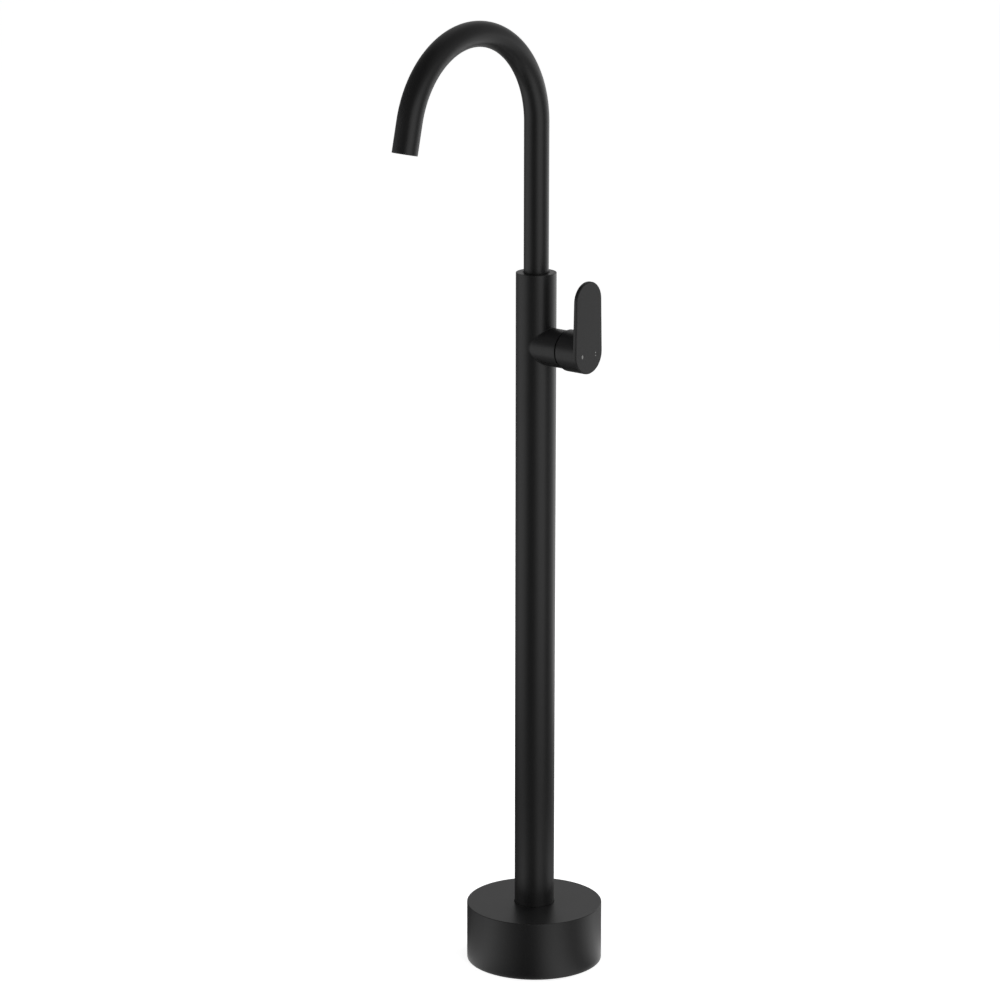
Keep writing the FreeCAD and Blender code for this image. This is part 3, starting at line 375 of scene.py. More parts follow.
# %% Moulded skin
moulded_skin, entry, leaving = new_group(
    "Moulded Skin", [("Grain size", 0.0005), ("Softness", 0.5)], ["Height", "Roughness shift"]
)
reckon = partial(math_node, moulded_skin)
where = entry.outputs["Vector"]
cells = add_node(
    moulded_skin, "ShaderNodeTexVoronoi", feature="SMOOTH_F1", Vector=where,
    Scale=reckon("DIVIDE", 1.0, entry.outputs["Grain size"]),
    Smoothness=entry.outputs["Softness"],
)
grain = add_node(moulded_skin, "ShaderNodeTexNoise", Scale=400.0, Detail=2.0, Vector=where)
height = reckon("ADD", cells.outputs["Distance"], grain.outputs["Fac"])
lowered = reckon("SUBTRACT", grain.outputs["Fac"], 0.5)
fill(moulded_skin, leaving.inputs["Height"], reckon("MULTIPLY", height, 0.5))
fill(moulded_skin, leaving.inputs["Roughness shift"], reckon("MULTIPLY", lowered, 0.12))
print("groups", [g.name for g in bpy.data.node_groups])


# %% [markdown]
# ## Finishes
# Each finish is one Principled shader. A group moves its roughness and its normal, two near
# colours are mixed by a noise, and plain numbers stand on the shader's own sockets.

# %% The finish maker
def make_finish(
    name, colours, roughness, group, group_values, bump, patch_size=0.05, turn=None, **shader
):
    """A material: two near colours, a base roughness, an effect group and its depth in metres."""
    material = bpy.data.materials.new(name)
    material.use_nodes = True
    tree = material.node_tree
    tree.nodes.clear()
    where = add_node(tree, "ShaderNodeTexCoord", (-900, 0)).outputs["Object"]
    vector = where
    if turn is not None:
        turned = add_node(tree, "ShaderNodeMapping", (-700, -200), Rotation=turn, Vector=where)
        vector = turned.outputs["Vector"]
    effect = add_node(tree, "ShaderNodeGroup", (-450, -200), node_tree=group)
    fill(tree, effect.inputs["Vector"], vector)
    for label, value in group_values.items():
        fill(tree, effect.inputs[label], value)
    tone = add_node(
        tree, "ShaderNodeTexNoise", (-450, 200), Scale=1.0 / patch_size, Detail=3.0, Vector=where
    )
    blend = add_node(
        tree, "ShaderNodeMix", (-150, 200), data_type="RGBA", Factor=tone.outputs["Fac"]
    )
    for socket, colour in zip((blend.inputs[6], blend.inputs[7]), colours):
        socket.default_value = (*colour, 1.0)
    rough = math_node(tree, "ADD", effect.outputs["Roughness shift"], roughness, clamp=True)
    relief = add_node(
        tree, "ShaderNodeBump", (300, -300), Strength=1.0, Distance=bump,
        Height=effect.outputs["Height"],
    )
    surface = add_node(
        tree, "ShaderNodeBsdfPrincipled", (600, 0), Base_Color=blend.outputs[2], Roughness=rough,
        Normal=relief.outputs["Normal"], **shader,
    )
    output = add_node(tree, "ShaderNodeOutputMaterial", (900, 0))
    tree.links.new(surface.outputs[0], output.inputs[0])
    return material


# %% [markdown]
# The visible skin is one matte black coat. Its colour is nearly black, and its roughness lets the
# cards show as wide pale stripes. Under the cover there are plated steel, brass and rubber.

# %% All finishes
black_coat = make_finish(
    "black_coat", [(0.0085, 0.0085, 0.0088), (0.0105, 0.0105, 0.0108)], 0.36,
    coat_grain, {"Peel size": 0.0007, "Gloss patches": 8.0, "Spread": 0.06}, 0.000007,
)
turned_brass = make_finish(
    "turned_brass", [(0.62, 0.44, 0.17), (0.70, 0.52, 0.24)], 0.26,
    turned_lines, {"Pitch": 0.0004, "Unevenness": 0.25}, 0.000012, Metallic=1.0,
)
turned_brass_across = make_finish(
    "turned_brass_across", [(0.62, 0.44, 0.17), (0.70, 0.52, 0.24)], 0.26,
    turned_lines, {"Pitch": 0.0004, "Unevenness": 0.25}, 0.000012,
    turn=(0.0, math.radians(90.0), 0.0), Metallic=1.0,
)
zinc_plate = make_finish(
    "zinc_plate", [(0.44, 0.46, 0.49), (0.60, 0.60, 0.58)], 0.38,
    coat_grain, {"Peel size": 0.004, "Gloss patches": 40.0, "Spread": 0.30}, 0.000020,
    patch_size=0.012, Metallic=1.0,
)
screw_steel = make_finish(
    "screw_steel", [(0.36, 0.36, 0.37), (0.46, 0.46, 0.47)], 0.30,
    turned_lines, {"Pitch": 0.0005, "Unevenness": 0.1}, 0.000020, Metallic=1.0,
)
drawn_steel = make_finish(
    "drawn_steel", [(0.50, 0.50, 0.51), (0.60, 0.60, 0.60)], 0.28,
    coat_grain, {"Peel size": 0.0015, "Gloss patches": 60.0, "Spread": 0.20}, 0.000010,
    Metallic=1.0,
)
black_rubber = make_finish(
    "black_rubber", [(0.016, 0.016, 0.016), (0.024, 0.024, 0.023)], 0.72,
    moulded_skin, {"Grain size": 0.0006, "Softness": 0.7}, 0.000030,
)
lapped_ceramic = make_finish(
    "lapped_ceramic", [(0.82, 0.81, 0.77), (0.87, 0.86, 0.83)], 0.14,
    moulded_skin, {"Grain size": 0.0003, "Softness": 1.0}, 0.000003,
)
cartridge_plastic = make_finish(
    "cartridge_plastic", [(0.70, 0.70, 0.67), (0.77, 0.77, 0.74)], 0.45,
    moulded_skin, {"Grain size": 0.0005, "Softness": 0.6}, 0.000015,
)
black_plastic = make_finish(
    "black_plastic", [(0.010, 0.010, 0.010), (0.015, 0.015, 0.015)], 0.50,
    moulded_skin, {"Grain size": 0.0004, "Softness": 0.6}, 0.000015,
)
mark_grey = make_finish(
    "mark_grey", [(0.27, 0.27, 0.27), (0.32, 0.32, 0.31)], 0.42,
    moulded_skin, {"Grain size": 0.0003, "Softness": 0.6}, 0.000008,
)
print("finishes", [m.name for m in bpy.data.materials])


# %% [markdown]
# ## Turned shapes
# Most of the filler is turned on a lathe, so most pieces start as a half outline that is spun
# about an axis. Real edges are never knife sharp, so the outline's corners are rounded first:
# a corner that catches a thin line of light tells the eye that the part is metal. A point stands
# close beside each rounding, so that the flat next to it stays flat when the shading is smoothed.

# %% Rounded outlines
def rounded_outline(corners, arc_steps=5):
    """A closed outline from (radius, height, rounding) corners, each rounded by its own radius."""
    points = []
    count = len(corners)
    hold = 1.5
    for index, (r, z, rounding) in enumerate(corners):
        here = Vector((r, z))
        if rounding <= 0.0:
            points.append(here)
            continue
        before = (Vector(corners[index - 1][:2]) - here).normalized()
        after = (Vector(corners[(index + 1) % count][:2]) - here).normalized()
        opening = before.angle(after)
        reach = rounding / math.tan(opening / 2)
        centre = here + (before + after).normalized() * (rounding / math.sin(opening / 2))
        first = here + before * reach - centre
        last = here + after * reach - centre
        swing = first.angle_signed(last)
        points.append(here + before * reach * hold)
        for step in range(arc_steps + 1):
            turn = -swing * step / arc_steps
            cos, sin = math.cos(turn), math.sin(turn)
            turned = (first.x * cos - first.y * sin, first.x * sin + first.y * cos)
            points.append(centre + Vector(turned))
        points.append(here + after * reach * hold)
    return points


# %% Spinning an outline
def written_mesh(name, shape):
    """A mesh with this name from an edited shape, which is then let go."""
    mesh = bpy.data.meshes.new(name)
    shape.to_mesh(mesh)
    shape.free()
    return mesh


def close_rows(shape, rows):
    """Joins each row of points to the next one with four-sided faces."""
    for row, following in rows:
        for index in range(len(row)):
            after = (index + 1) % len(row)
            shape.faces.new((row[index], row[after], following[after], following[index]))


def spun_mesh(name, outline, segments=144, to_world=None):
    """A mesh from a closed outline of (radius, height), spun about the Z axis, faces outwards."""
    shape = bmesh.new()
    rings = []
    for point in outline:
        ring = []
        for segment in range(segments):
            angle = math.tau * segment / segments
            x, y = point.x * math.cos(angle), point.x * math.sin(angle)
            ring.append(shape.verts.new((x, y, point.y)))
        rings.append(ring)
    close_rows(shape, zip(rings, rings[1:] + rings[:1]))
    if to_world is not None:
        shape.transform(to_world)
    bmesh.ops.recalc_face_normals(shape, faces=shape.faces)
    return written_mesh(name, shape)


def smooth(mesh, angle=32.0):
    """Smooth shading, with the edges kept that turn by more than the angle."""
    mesh.shade_smooth()
    mesh.set_sharp_from_angle(angle=math.radians(angle))


# %% [markdown]
# Holes are cut with the Boolean modifier. The cut shape is then made a plain mesh, and the cutter
# is thrown away, so the finished piece has no modifier that looks at another object.

# %% Cutting holes
def cutter_cylinder(centre, axis, radius, length, segments=96):
    """A closed cylinder mesh that starts at its centre point and runs along the axis."""
    shape = bmesh.new()
    bmesh.ops.create_cone(
        shape, cap_ends=True, segments=segments, radius1=radius, radius2=radius, depth=length
    )
    turn = Vector(axis).to_track_quat("Z", "Y").to_matrix().to_4x4()
    middle = Vector(centre) + Vector(axis).normalized() * length / 2
    shape.transform(Matrix.Translation(middle) @ turn)
    return written_mesh("cutter", shape)


def cutter_block(centre, size):
    """A closed block mesh with this centre and these three sizes."""
    shape = bmesh.new()
    bmesh.ops.create_cube(shape, size=1.0)
    shape.transform(Matrix.Translation(centre) @ Matrix.Diagonal((*size, 1.0)))
    return written_mesh("cutter", shape)


def result_of(made):
    """A plain mesh of what the object's modifiers make."""
    bpy.context.view_layer.update()
    return bpy.data.meshes.new_from_object(
        made.evaluated_get(bpy.context.evaluated_depsgraph_get())
    )


def cut_away(piece, cutter_mesh):
    """Cuts the shape of the cutter out of the piece."""
    cutter = make_object("cutter", cutter_mesh)
    cut = piece.modifiers.new("cut", "BOOLEAN")
    cut.operation = "DIFFERENCE"
    cut.solver = "EXACT"
    cut.object = cutter
    result = result_of(piece)
    piece.modifiers.clear()
    piece.data = result
    bpy.data.objects.remove(cutter)
    bpy.data.meshes.remove(cutter_mesh)


def finish_piece(piece, material, body, nodes):
    """Gives the piece its material, its body and the nodes it stands for."""
    piece.data.materials.clear()
    piece.data.materials.append(material)
    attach(piece, body)
    if nodes:
        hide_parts(*nodes)
    triangles = sum(len(face.vertices) - 2 for face in piece.data.polygons)
    print(piece.name, "on", body, "for", ", ".join(nodes) or "no node", "triangles", triangles)


def join_into(piece, other_mesh, placing=None):
    """Adds another mesh to the piece as a second shell, and then moves both."""
    joined = bmesh.new()
    joined.from_mesh(piece.data)
    joined.from_mesh(other_mesh)
    if placing is not None:
        joined.transform(placing)
    joined.to_mesh(piece.data)
    joined.free()


# %% [markdown]
# ## The spout
# The real spout is one length of drawn tube, bent over a former, with a straight riser, a long
# round bend and a short straight tip. That is a rule, so Geometry Nodes make it: a straight tube
# is spun first, and then each of its points is carried to its place on the bent line.

# %% Straight tube by nodes
def rule_tree(name, sizes):
    """A Geometry Nodes tree with a number input for each size, and one for the material."""
    tree = bpy.data.node_groups.new(name, "GeometryNodeTree")
    tree.interface.new_socket("Geometry", in_out="OUTPUT", socket_type="NodeSocketGeometry")
    for label, value in sizes.items():
        socket = tree.interface.new_socket(label, in_out="INPUT", socket_type="NodeSocketFloat")
        socket.default_value = value
    tree.interface.new_socket("Material", in_out="INPUT", socket_type="NodeSocketMaterial")
    given = tree.nodes.new("NodeGroupInput").outputs
    return tree, given, partial(add_node, tree), partial(math_node, tree)


def dressed_output(tree, geometry, material):
    """Ends the tree: real geometry with its material on it."""
    real = add_node(tree, "GeometryNodeRealizeInstances", Geometry=geometry)
    dress = add_node(
        tree, "GeometryNodeSetMaterial", Geometry=real.outputs[0], Material=material
    )
    leaving = tree.nodes.new("NodeGroupOutput")
    tree.links.new(dress.outputs[0], leaving.inputs[0])


spout_sizes = {
    "Tube radius": 0.013875, "Wall": 0.0015, "Edge rounding": 0.0005, "Riser": 0.1775,
    "Bend radius": 0.1061, "Bend angle": math.radians(166.6), "Tip length": 0.0343, "Step": 0.0035,
}
spout_tree, given, add, reckon = rule_tree("Bent Tube", spout_sizes)
bend_length = reckon("MULTIPLY", given["Bend radius"], given["Bend angle"])
to_tip = reckon("ADD", given["Riser"], bend_length)
whole_length = reckon("ADD", to_tip, given["Tip length"])
outer = given["Tube radius"]
bore = reckon("SUBTRACT", outer, given["Wall"])
wall_corners = [(bore, 0.0), (outer, 0.0), (outer, whole_length), (bore, whole_length)]
outline_box = add("GeometryNodeCurvePrimitiveQuadrilateral", mode="POINTS")
for number, (x, z) in enumerate(wall_corners, 1):
    corner = add("ShaderNodeCombineXYZ", X=x, Z=z)
    fill(spout_tree, outline_box.inputs[f"Point {number}"], corner.outputs[0])
soft_corners = add(
    "GeometryNodeFilletCurve", mode="POLY", Count=4, Curve=outline_box.outputs[0],
    Radius=given["Edge rounding"],
).outputs[0]

# %% [markdown]
# The fillet leaves two very long runs. They are cut into short ones, because a straight run can
# only bend where it has points. How often a run is cut follows from the distance between a point
# and the next one, so the short runs at the rounded corners stay as they are.

# %% Cut the long runs
own_number = add("GeometryNodeInputIndex").outputs[0]
place_now = add("GeometryNodeInputPosition").outputs[0]
outline_points = add(
    "GeometryNodeAttributeDomainSize", component="CURVE", Geometry=soft_corners
).outputs["Point Count"]
next_number = reckon("MODULO", reckon("ADD", own_number, 1.0), outline_points)
next_place = add(
    "GeometryNodeFieldAtIndex", data_type="FLOAT_VECTOR", domain="POINT", Index=next_number,
    Value=place_now,
)
gap = add("ShaderNodeVectorMath", operation="DISTANCE")
fill(spout_tree, gap.inputs[0], place_now)
fill(spout_tree, gap.inputs[1], next_place.outputs[0])
cuts = reckon("FLOOR", reckon("DIVIDE", gap.outputs["Value"], given["Step"]))
short_runs = add("GeometryNodeSubdivideCurve", Curve=soft_corners, Cuts=cuts)
outline_mesh = add("GeometryNodeCurveToMesh", Curve=short_runs.outputs[0]).outputs[0]
rows = add(
    "GeometryNodeAttributeDomainSize", component="MESH", Geometry=outline_mesh
).outputs["Point Count"]

# %% [markdown]
# The tube itself is a grid: one direction runs along the outline, the other round the tube. Each
# grid point looks up its outline point by its column number and turns it by its row number. The
# two open seams of the grid are merged after the bend.

# %% A grid wound into a tube
turns_round = 96
sheet = add(
    "GeometryNodeMeshGrid", Vertices_X=reckon("ADD", rows, 1.0), Vertices_Y=turns_round + 1
)
column_number = reckon("FLOOR", reckon("DIVIDE", own_number, turns_round + 1.0))
row_number = reckon("MODULO", own_number, turns_round + 1.0)
outline_place = add(
    "GeometryNodeSampleIndex", data_type="FLOAT_VECTOR", domain="POINT", Geometry=outline_mesh,
    Value=place_now, Index=reckon("MODULO", column_number, rows),
)
sides = add("ShaderNodeSeparateXYZ", Vector=outline_place.outputs[0]).outputs
turn_angle = reckon("MULTIPLY", row_number, math.tau / turns_round)
across = reckon("MULTIPLY", sides["X"], reckon("SINE", turn_angle))
inward = reckon("MULTIPLY", sides["X"], reckon("COSINE", turn_angle))
run = sides["Z"]

# %% [markdown]
# Now the bend. A point at a distance along the tube has climbed the riser, swung through part of
# the bend's angle, and gone some way down the tip. With that angle known, its place follows from
# a sine and a cosine, and the tube stays perfectly round all the way.

# %% Carry each point to the bent line
past_riser = reckon("SUBTRACT", run, given["Riser"])
bent = reckon("DIVIDE", past_riser, given["Bend radius"])
swing = reckon("MINIMUM", reckon("MAXIMUM", bent, 0.0), given["Bend angle"])
climb = reckon("MINIMUM", run, given["Riser"])
past_bend = reckon("MAXIMUM", reckon("SUBTRACT", run, to_tip), 0.0)
swing_sine = reckon("SINE", swing)
swing_cosine = reckon("COSINE", swing)
arm = reckon("ADD", given["Bend radius"], inward)
tip_forward = reckon("MULTIPLY", past_bend, swing_sine)
centre_line = reckon("ADD", given["Bend radius"], tip_forward)
forward = reckon("SUBTRACT", reckon("MULTIPLY", arm, swing_cosine), centre_line)
bend_rise = reckon("ADD", climb, reckon("MULTIPLY", arm, swing_sine))
upward = reckon("ADD", bend_rise, reckon("MULTIPLY", past_bend, swing_cosine))
final_place = add("ShaderNodeCombineXYZ", X=across, Y=forward, Z=upward)
bend_it = add(
    "GeometryNodeSetPosition", Geometry=sheet.outputs["Mesh"], Position=final_place.outputs[0]
)
close_seams = add(
    "GeometryNodeMergeByDistance", Distance=0.00001, Geometry=bend_it.outputs[0]
)
dressed_output(spout_tree, close_seams.outputs[0], given["Material"])


# %% [markdown]
# A modifier runs the tree. Its inputs are set by each socket's identifier, the result is copied
# as a plain mesh, and the modifier goes. The mesh is lifted to the height where the tube starts.

# %% Run the tree
def plain_from_nodes(name, tree, values):
    """A plain mesh object from a Geometry Nodes tree with these input values."""
    carrier = make_object(name, bpy.data.meshes.new(name + "_start"))
    maker = carrier.modifiers.new("maker", "NODES")
    maker.node_group = tree
    for item in tree.interface.items_tree:
        if item.in_out == "INPUT" and item.name in values:
            maker[item.identifier] = values[item.name]
    mesh = result_of(carrier)
    carrier.modifiers.clear()
    carrier.data = mesh
    mesh.name = name
    return carrier


def outward(mesh, merge=0.0):
    """Merges doubles if asked, and turns all faces outwards."""
    shape = bmesh.new()
    shape.from_mesh(mesh)
    if merge:
        bmesh.ops.remove_doubles(shape, verts=shape.verts, dist=merge)
    bmesh.ops.recalc_face_normals(shape, faces=shape.faces)
    shape.to_mesh(mesh)
    shape.free()


spout_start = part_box("spout_tube")[0].z
print("spout tube starts at", round(spout_start, 4))
bend_height = 0.9655
spout_sizes["Riser"] = bend_height - spout_start
spout_tube = plain_from_nodes("bent_spout", spout_tree, {**spout_sizes, "Material": black_coat})
outward(spout_tube.data, merge=0.000005)
spout_tube.data.transform(Matrix.Translation((0.0, 0.0, spout_start)))
smooth(spout_tube.data, 50.0)
finish_piece(spout_tube, black_coat, "spout", ["spout_tube"])

# %% [markdown]
# ## The column
# The column is one straight tube that stands on a ledge inside the cover. It has a large hole for
# the side sleeve, and a small one at the back for the screw that locks the spout.

# %% Column tube
column_radius, column_wall = 0.0225, 0.0020
column_low, column_high = (corner.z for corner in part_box("column_tube"))
lever_height, lock_screw_height = 0.7183, 0.7835
sleeve_hole_radius, lock_screw_radius, cut_length = 0.01915, 0.00305, 0.03
outline = rounded_outline([
    (column_radius - column_wall, column_low, 0.0002),
    (column_radius, column_low, 0.0003),
    (column_radius, column_high, 0.0004),
    (column_radius - column_wall, column_high, 0.0003),
], arc_steps=4)
column = make_object("column_shell", spun_mesh("column_shell", outline))
sleeve_hole = cutter_cylinder(
    (0.0, 0.0, lever_height), (1, 0, 0), sleeve_hole_radius, cut_length
)
cut_away(column, sleeve_hole)
screw_hole = cutter_cylinder(
    (0.0, 0.0, lock_screw_height), (0, 1, 0), lock_screw_radius, cut_length, 48
)
cut_away(column, screw_hole)
smooth(column.data)
finish_piece(column, black_coat, "stand", ["column_tube"])

# %% [markdown]
# The sleeve that carries the lever meets the column in a saddle line. It is soldered there, and a
# thin fillet of solder under the coat softens the corner. Each lengthwise row of points starts on
# the column's own round, so the line fits it exactly. Its outer end steps down to a short neck,
# which reads as a thin dark line between the sleeve and the lever's hub.

# %% Side sleeve
sleeve_radius, sleeve_wall = 0.02115, 0.0020
sleeve_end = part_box("side_housing")[1].x
sleeve_rows, saddle_gap = 160, 0.00002


def saddle_x(y, radius):
    """How far out the column's round is at this distance to the side."""
    return math.sqrt(max(radius * radius - y * y, 0.0))


shape = bmesh.new()
rings = []
solder, edge = 0.0007, 0.00025
neck_length, neck_radius = 0.0018, 0.0200
bore_radius = sleeve_radius - sleeve_wall
sections = [
    ("foot", sleeve_radius + solder, 0.0), ("foot", sleeve_radius + solder * 0.35, solder * 0.35),
    ("foot", sleeve_radius, solder), ("foot", sleeve_radius, solder * 2.0),
    ("end", sleeve_radius, neck_length + edge * 3.0), ("end", sleeve_radius, neck_length + edge),
    ("end", sleeve_radius - edge * 0.3, neck_length + edge * 0.3),
    ("end", sleeve_radius - edge, neck_length), ("end", neck_radius, neck_length),
    ("end", neck_radius, edge), ("end", neck_radius - edge, 0.0),
    ("end", bore_radius + edge, 0.0), ("end", bore_radius, edge), ("bore", bore_radius, 0.0),
]
for kind, radius, shift in sections:
    ring = []
    for row in range(sleeve_rows):
        angle = math.tau * row / sleeve_rows
        y, z = radius * math.cos(angle), radius * math.sin(angle)
        x = sleeve_end - shift
        if kind != "end":
            x = saddle_x(y, column_radius + saddle_gap) + shift
        ring.append(shape.verts.new((x, y, lever_height + z)))
    rings.append(ring)
close_rows(shape, zip(rings, rings[1:] + rings[:1]))
bmesh.ops.recalc_face_normals(shape, faces=shape.faces)
sleeve_mesh = written_mesh("side_sleeve", shape)
smooth(sleeve_mesh, 40.0)
sleeve = make_object("side_sleeve", sleeve_mesh)
finish_piece(sleeve, black_coat, "stand", ["side_housing"])

# %% [markdown]
# A plastic dust ring lies on the cartridge's socket, in the mouth of the sleeve. It closes most of
# the gap behind the lever's hub, and its round opening leaves the lever's stem room to tilt.

# %% Dust ring
z_to_lever = Matrix(((0, 0, 1), (1, 0, 0), (0, 1, 0))).to_4x4()
along_lever = Matrix.Translation((0.0, 0.0, lever_height)) @ z_to_lever
dust_outline = rounded_outline([
    (0.0176, 0.0441, 0.0),
    (0.0190, 0.0441, 0.0),
    (0.0189, 0.0459, 0.0004),
    (0.0154, 0.0460, 0.0005),
    (0.0120, 0.0472, 0.0003),
    (0.0120, 0.0464, 0.0),
    (0.0150, 0.0452, 0.0),
    (0.0176, 0.0451, 0.0),
])
dust_ring = make_object("dust_ring", spun_mesh("dust_ring", dust_outline, 96, along_lever))
finish_piece(dust_ring, black_plastic, "stand", [])

# %% [markdown]
# ## The cover over the floor plate
# A skirt and a flat top are welded, ground flush and coated, so nothing of the seam is seen. The
# piece below is one shell: outer wall, a small round edge, the top, the hole, and the inside.

# %% Cover
cover_radius, cover_wall, hole_radius = 0.077, 0.0015, 0.0228
cover_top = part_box("cover_top")[1].z
outline = rounded_outline([
    (cover_radius - cover_wall, 0.0, 0.0003),
    (cover_radius, 0.0, 0.0004),
    (cover_radius, cover_top, 0.0007),
    (hole_radius, cover_top, 0.0004),
    (hole_radius, cover_top - cover_wall, 0.0002),
    (cover_radius - cover_wall, cover_top - cover_wall, 0.0006),
])
cover = make_object("cover_shell", spun_mesh("cover_shell", outline, 224))
smooth(cover.data)
finish_piece(cover, black_coat, "cover", ["cover_skirt", "cover_top"])

# %% [markdown]
# ## The lever
# The lever is a round hub that grows into an upright paddle. Two shells make it: the paddle, whose
# outline is two arcs and their tangents, and the hub, which is turned and then cut. They share
# the same lower arc, so together they read as one casting.

# %% Paddle
hub_radius, top_radius, arc_distance = 0.023, 0.0215, 0.0582
paddle_back, paddle_face = 0.070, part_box("handle")[1].x
face_edge, back_edge = 0.0010, 0.0018


def slot_outline(inset, steps=56):
    """Points of the paddle's outline, moved inwards by this much, as (side, height)."""
    low, high = hub_radius - inset, top_radius - inset
    tilt = math.asin((hub_radius - top_radius) / arc_distance)
    points = []
    for step in range(steps + 1):
        angle = math.pi - tilt + (math.pi + 2 * tilt) * step / steps
        points.append((low * math.cos(angle), low * math.sin(angle)))
    for step in range(steps + 1):
        angle = tilt + (math.pi - 2 * tilt) * step / steps
        points.append((high * math.cos(angle), arc_distance + high * math.sin(angle)))
    return points


shape = bmesh.new()
rings = []
levels = []
for step in range(7):
    turn = math.pi / 2 * step / 6
    inset, rise = back_edge * (1 - math.sin(turn)), back_edge * (1 - math.cos(turn))
    levels.append((inset, paddle_back + rise))
for step in range(5):
    turn = math.pi / 2 * step / 4
    inset, drop = face_edge * (1 - math.cos(turn)), face_edge * (1 - math.sin(turn))
    levels.append((inset, paddle_face - drop))
levels = [(back_edge * 1.3, paddle_back)] + levels + [(face_edge * 1.6, paddle_face)]
for inset, x in levels:
    rings.append([shape.verts.new((x, y, lever_height + z)) for y, z in slot_outline(inset)])
close_rows(shape, zip(rings, rings[1:]))
shape.faces.new(list(reversed(rings[0])))
shape.faces.new(rings[-1])
bmesh.ops.recalc_face_normals(shape, faces=shape.faces)
paddle_mesh = written_mesh("paddle", shape)
smooth(paddle_mesh, 40.0)
print("paddle points", len(paddle_mesh.vertices))

# %% [markdown]
# The hub is hollow behind, so that it clears the end of the sleeve as it tilts, and a boss inside
# it grips the lever's square stem. Its lower back edge is cut away at a slant, for the same reason.

# %% Hub
hub_start, cavity_end, boss_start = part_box("handle")[0].x, 0.064, 0.052
cavity_radius, boss_radius, stem_half = 0.0212, 0.008, 0.00405
outline = rounded_outline([
    (cavity_radius, hub_start, 0.0002),
    (hub_radius, hub_start, 0.0004),
    (hub_radius, paddle_back + back_edge, 0.0),
    (0.00001, paddle_back + back_edge, 0.0),
    (0.00001, boss_start, 0.0),
    (boss_radius, boss_start, 0.0006),
    (boss_radius, cavity_end, 0.0004),
    (cavity_radius, cavity_end, 0.0008),
])
hub = make_object("lever_handle", spun_mesh("lever_handle", outline, 144, along_lever))
stem_depth, stem_middle = 0.0117, boss_start + 0.0045
stem_size = (stem_depth, stem_half * 2, stem_half * 2)
cut_away(hub, cutter_block((stem_middle, 0.0, lever_height), stem_size))
relief = bpy.data.meshes.new("cutter")
side, low, top = 0.03, lever_height - 0.0233, lever_height - 0.004
relief_depth, outside = 0.0046, hub_start - 0.0003
corners = [(outside, top), (hub_start, top), (hub_start + relief_depth, low), (outside, low)]
points = [(x, -side, z) for x, z in corners] + [(x, side, z) for x, z in corners]
relief_faces = [(0, 1, 2, 3), (7, 6, 5, 4), (0, 4, 5, 1), (1, 5, 6, 2), (2, 6, 7, 3), (3, 7, 4, 0)]
relief.from_pydata(points, [], relief_faces)
outward(relief)
cut_away(hub, relief)
plug_distance, plug_radius = 0.058, 0.00255
plug_hole = cutter_cylinder(
    (plug_distance, 0.0, lever_height), (0, 0, -1), plug_radius, cut_length, 48
)
cut_away(hub, plug_hole)
smooth(hub.data, 40.0)

# %% Join the two shells
join_into(hub, paddle_mesh)
finish_piece(hub, black_coat, "lever", ["handle"])

# %% [markdown]
# Two small pale marks on the paddle show which way is hot and which is cold. They are printed, so
# each is a flat drop of paint with a sloping rim: one oval on one side, two dots on the other.

# %% Painted marks
paint, rim_share = 0.00015, 0.88
mark_side, mark_drop = 0.0114, 0.0022
dot_radius, dot_spread = 0.0008, 0.0016
painted = [
    (-mark_side, -mark_drop, 0.0014, 0.0021),
    (mark_side, -mark_drop + dot_spread, dot_radius, dot_radius),
    (mark_side, -mark_drop - dot_spread, dot_radius, dot_radius),
]
shape = bmesh.new()
for side, rise, half_width, half_height in painted:
    place = Matrix.Translation((paddle_face + paint / 2, side, rise))
    stretch = Matrix.Diagonal((half_width, half_height, paint, 1.0))
    bmesh.ops.create_cone(
        shape, cap_ends=True, segments=40, radius1=1.0, radius2=rim_share, depth=1.0,
        matrix=place @ along_lever @ stretch,
    )
marks_mesh = written_mesh("lever_marks", shape)
marks = make_object("lever_marks", marks_mesh)
smooth(marks_mesh, 30.0)
finish_piece(marks, mark_grey, "lever", ["temperature_marks"])

# %% [markdown]
# ## The outlet
# The aerator breaks the water into soft jets. Its face is a field of small round nozzles in rows,
# each row shifted by half a step. A repeated shape on a rule is work for Geometry Nodes.

# %% Nozzles by nodes
jet_sizes = {"Pitch": 0.0024, "Nozzle radius": 0.00062, "Field radius": 0.0092, "Rim": 0.00022}
jets_tree, given, add, reckon = rule_tree("Jet Field", jet_sizes)
jets_across = 11
grid = add(
    "GeometryNodeMeshGrid", Size_X=jets_across - 1.0, Size_Y=jets_across - 1.0,
    Vertices_X=jets_across, Vertices_Y=jets_across,
)
place = add("GeometryNodeInputPosition").outputs[0]
parts = add("ShaderNodeSeparateXYZ", Vector=place).outputs
odd_row = reckon("PINGPONG", parts["Y"], 1.0)
shifted = reckon("ADD", parts["X"], reckon("MULTIPLY", odd_row, 0.5))
row_step = reckon("MULTIPLY", given["Pitch"], math.sqrt(3) / 2)
jet_place = add(
    "ShaderNodeCombineXYZ", X=reckon("MULTIPLY", shifted, given["Pitch"]),
    Y=reckon("MULTIPLY", parts["Y"], row_step),
)
spread = add(
    "GeometryNodeSetPosition", Geometry=grid.outputs["Mesh"], Position=jet_place.outputs[0]
)
distance = add("ShaderNodeVectorMath", operation="LENGTH")
fill(jets_tree, distance.inputs[0], place)
too_far = reckon("GREATER_THAN", distance.outputs["Value"], given["Field radius"])
field = add("GeometryNodeDeleteGeometry", Geometry=spread.outputs[0], Selection=too_far)

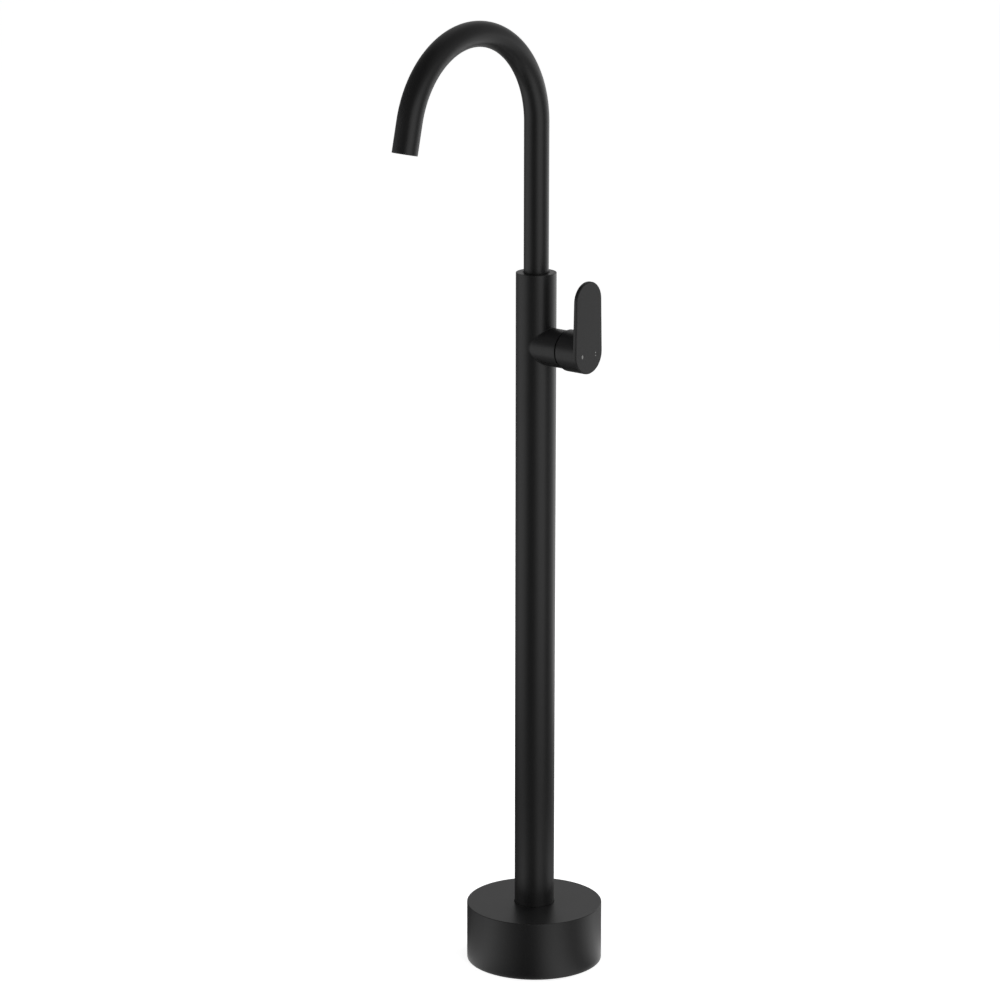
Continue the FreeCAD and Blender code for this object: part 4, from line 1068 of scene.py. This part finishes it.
# %% One nozzle, and a copy of it on each point
ring_path = add("GeometryNodeCurvePrimitiveCircle", Resolution=14, Radius=given["Nozzle radius"])
ring_section = add("GeometryNodeCurvePrimitiveCircle", Resolution=6, Radius=given["Rim"])
nozzle = add(
    "GeometryNodeCurveToMesh", Curve=ring_path.outputs[0], Profile_Curve=ring_section.outputs[0]
)
copies = add("GeometryNodeInstanceOnPoints", Points=field.outputs[0], Instance=nozzle.outputs[0])
dressed_output(jets_tree, copies.outputs[0], given["Material"])

# %% [markdown]
# The nozzles stand on a moulded cup. Both are made at the origin first, with the outlet facing
# down, and then moved to the tip of the spout with one matrix, as the real insert is pushed in.

# %% Insert at the tip
outlet_tilt = math.radians(13.4)
tilt_sine, tilt_cosine = math.sin(outlet_tilt), math.cos(outlet_tilt)
bend_radius, tip_length = spout_sizes["Bend radius"], spout_sizes["Tip length"]
outlet_reach = bend_radius * (1 + tilt_cosine) + tip_length * tilt_sine
outlet_height = bend_height + bend_radius * tilt_sine - tip_length * tilt_cosine
outlet_turn = Matrix.Rotation(-outlet_tilt, 4, "X")
at_outlet = Matrix.Translation((0.0, -outlet_reach, outlet_height)) @ outlet_turn
insert_start, insert_end, insert_radius = 0.0024, 0.0104, 0.0107
outline = rounded_outline([
    (0.00001, insert_start + 0.0004, 0.0),
    (insert_radius - 0.0008, insert_start + 0.0004, 0.0002),
    (insert_radius - 0.0006, insert_start, 0.0001),
    (insert_radius, insert_start, 0.0002),
    (insert_radius, insert_end, 0.0003),
    (insert_radius - 0.0015, insert_end, 0.0003),
    (insert_radius - 0.0015, insert_start + 0.0020, 0.0004),
    (0.00001, insert_start + 0.0020, 0.0),
])
insert = make_object("jet_insert", spun_mesh("jet_insert", outline, 96))
jets = plain_from_nodes("jets", jets_tree, {**jet_sizes, "Material": black_plastic})
outward(jets.data)
jets.data.transform(Matrix.Translation((0.0, 0.0, insert_start + 0.0004)))
join_into(insert, jets.data, at_outlet)
bpy.data.objects.remove(jets)
smooth(insert.data, 40.0)
finish_piece(insert, black_plastic, "spout", ["aerator_insert"])

# %% [markdown]
# The insert's housing screws into the tip. Two notches in its rim take a key, so that it can be
# taken out and cleaned.

# %% Housing of the insert
housing_bore, housing_radius, housing_low, housing_high = 0.010725, 0.012325, 0.0008, 0.0138
outline = rounded_outline([
    (housing_bore, housing_low, 0.0004),
    (housing_radius, housing_low, 0.0003),
    (housing_radius, housing_high, 0.0002),
    (housing_bore, housing_high, 0.0002),
])
housing = make_object("outlet_housing", spun_mesh("outlet_housing", outline, 96))
notch_size = (0.0040, 0.0024, 0.0018)
for side in (1, -1):
    cut_away(housing, cutter_block((side * 0.0115, 0.0, 0.0010), notch_size))
housing.data.transform(at_outlet)
smooth(housing.data, 40.0)
finish_piece(housing, black_plastic, "spout", ["aerator_housing"])

# %% [markdown]
# ## The pieces that stay as they are
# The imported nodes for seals, screws, discs, pipes and blocks already have the right shape. They
# keep it, and each gets a finish. A turned part that lies along the lever gets lines that run
# across, because its axis is the lever's.

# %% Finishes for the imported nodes
finishes = {
    "floor_gasket": black_rubber, "cover_seal": black_rubber, "port_seals": black_rubber,
    "spout_seal": black_rubber, "aerator_washer": black_rubber,
    "floor_plate": zinc_plate, "clamp_collar": zinc_plate,
    "clamp_screws": screw_steel, "spout_lock_screw": screw_steel, "handle_screw": screw_steel,
    "stem_pin": screw_steel, "lever_stem": screw_steel,
    "hot_pipe": drawn_steel, "cold_pipe": drawn_steel, "outlet_pipe": drawn_steel,
    "column_foot": turned_brass, "valve_body": turned_brass, "spout_spigot": turned_brass,
    "cartridge_socket": turned_brass_across, "cartridge_nut": turned_brass_across,
    "fixed_disc": lapped_ceramic, "moving_disc": lapped_ceramic,
    "cartridge_base": cartridge_plastic, "disc_carrier": cartridge_plastic,
    "cartridge_rotor": cartridge_plastic, "cartridge_housing": cartridge_plastic,
    "check_valves": cartridge_plastic,
    "spout_bush": black_plastic, "screw_plug": black_plastic,
    "spout_socket": black_coat,
}
for node_name, finish in finishes.items():
    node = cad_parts[node_name]
    node.data.materials.clear()
    node.data.materials.append(finish)
print("packed nodes with a finish", len(finishes), "of", len(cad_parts))

# %% [markdown]
# ## Sizes
# Both boxes, the model's and the dressed filler's, are printed here. The dressed filler
# has to stay inside the model's box.

# %% Both boxes
dressed_low, dressed_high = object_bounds()
for label, low, high in (("model", cad_low, cad_high), ("dressed", dressed_low, dressed_high)):
    print(label, [round(v, 5) for v in low], [round(v, 5) for v in high])
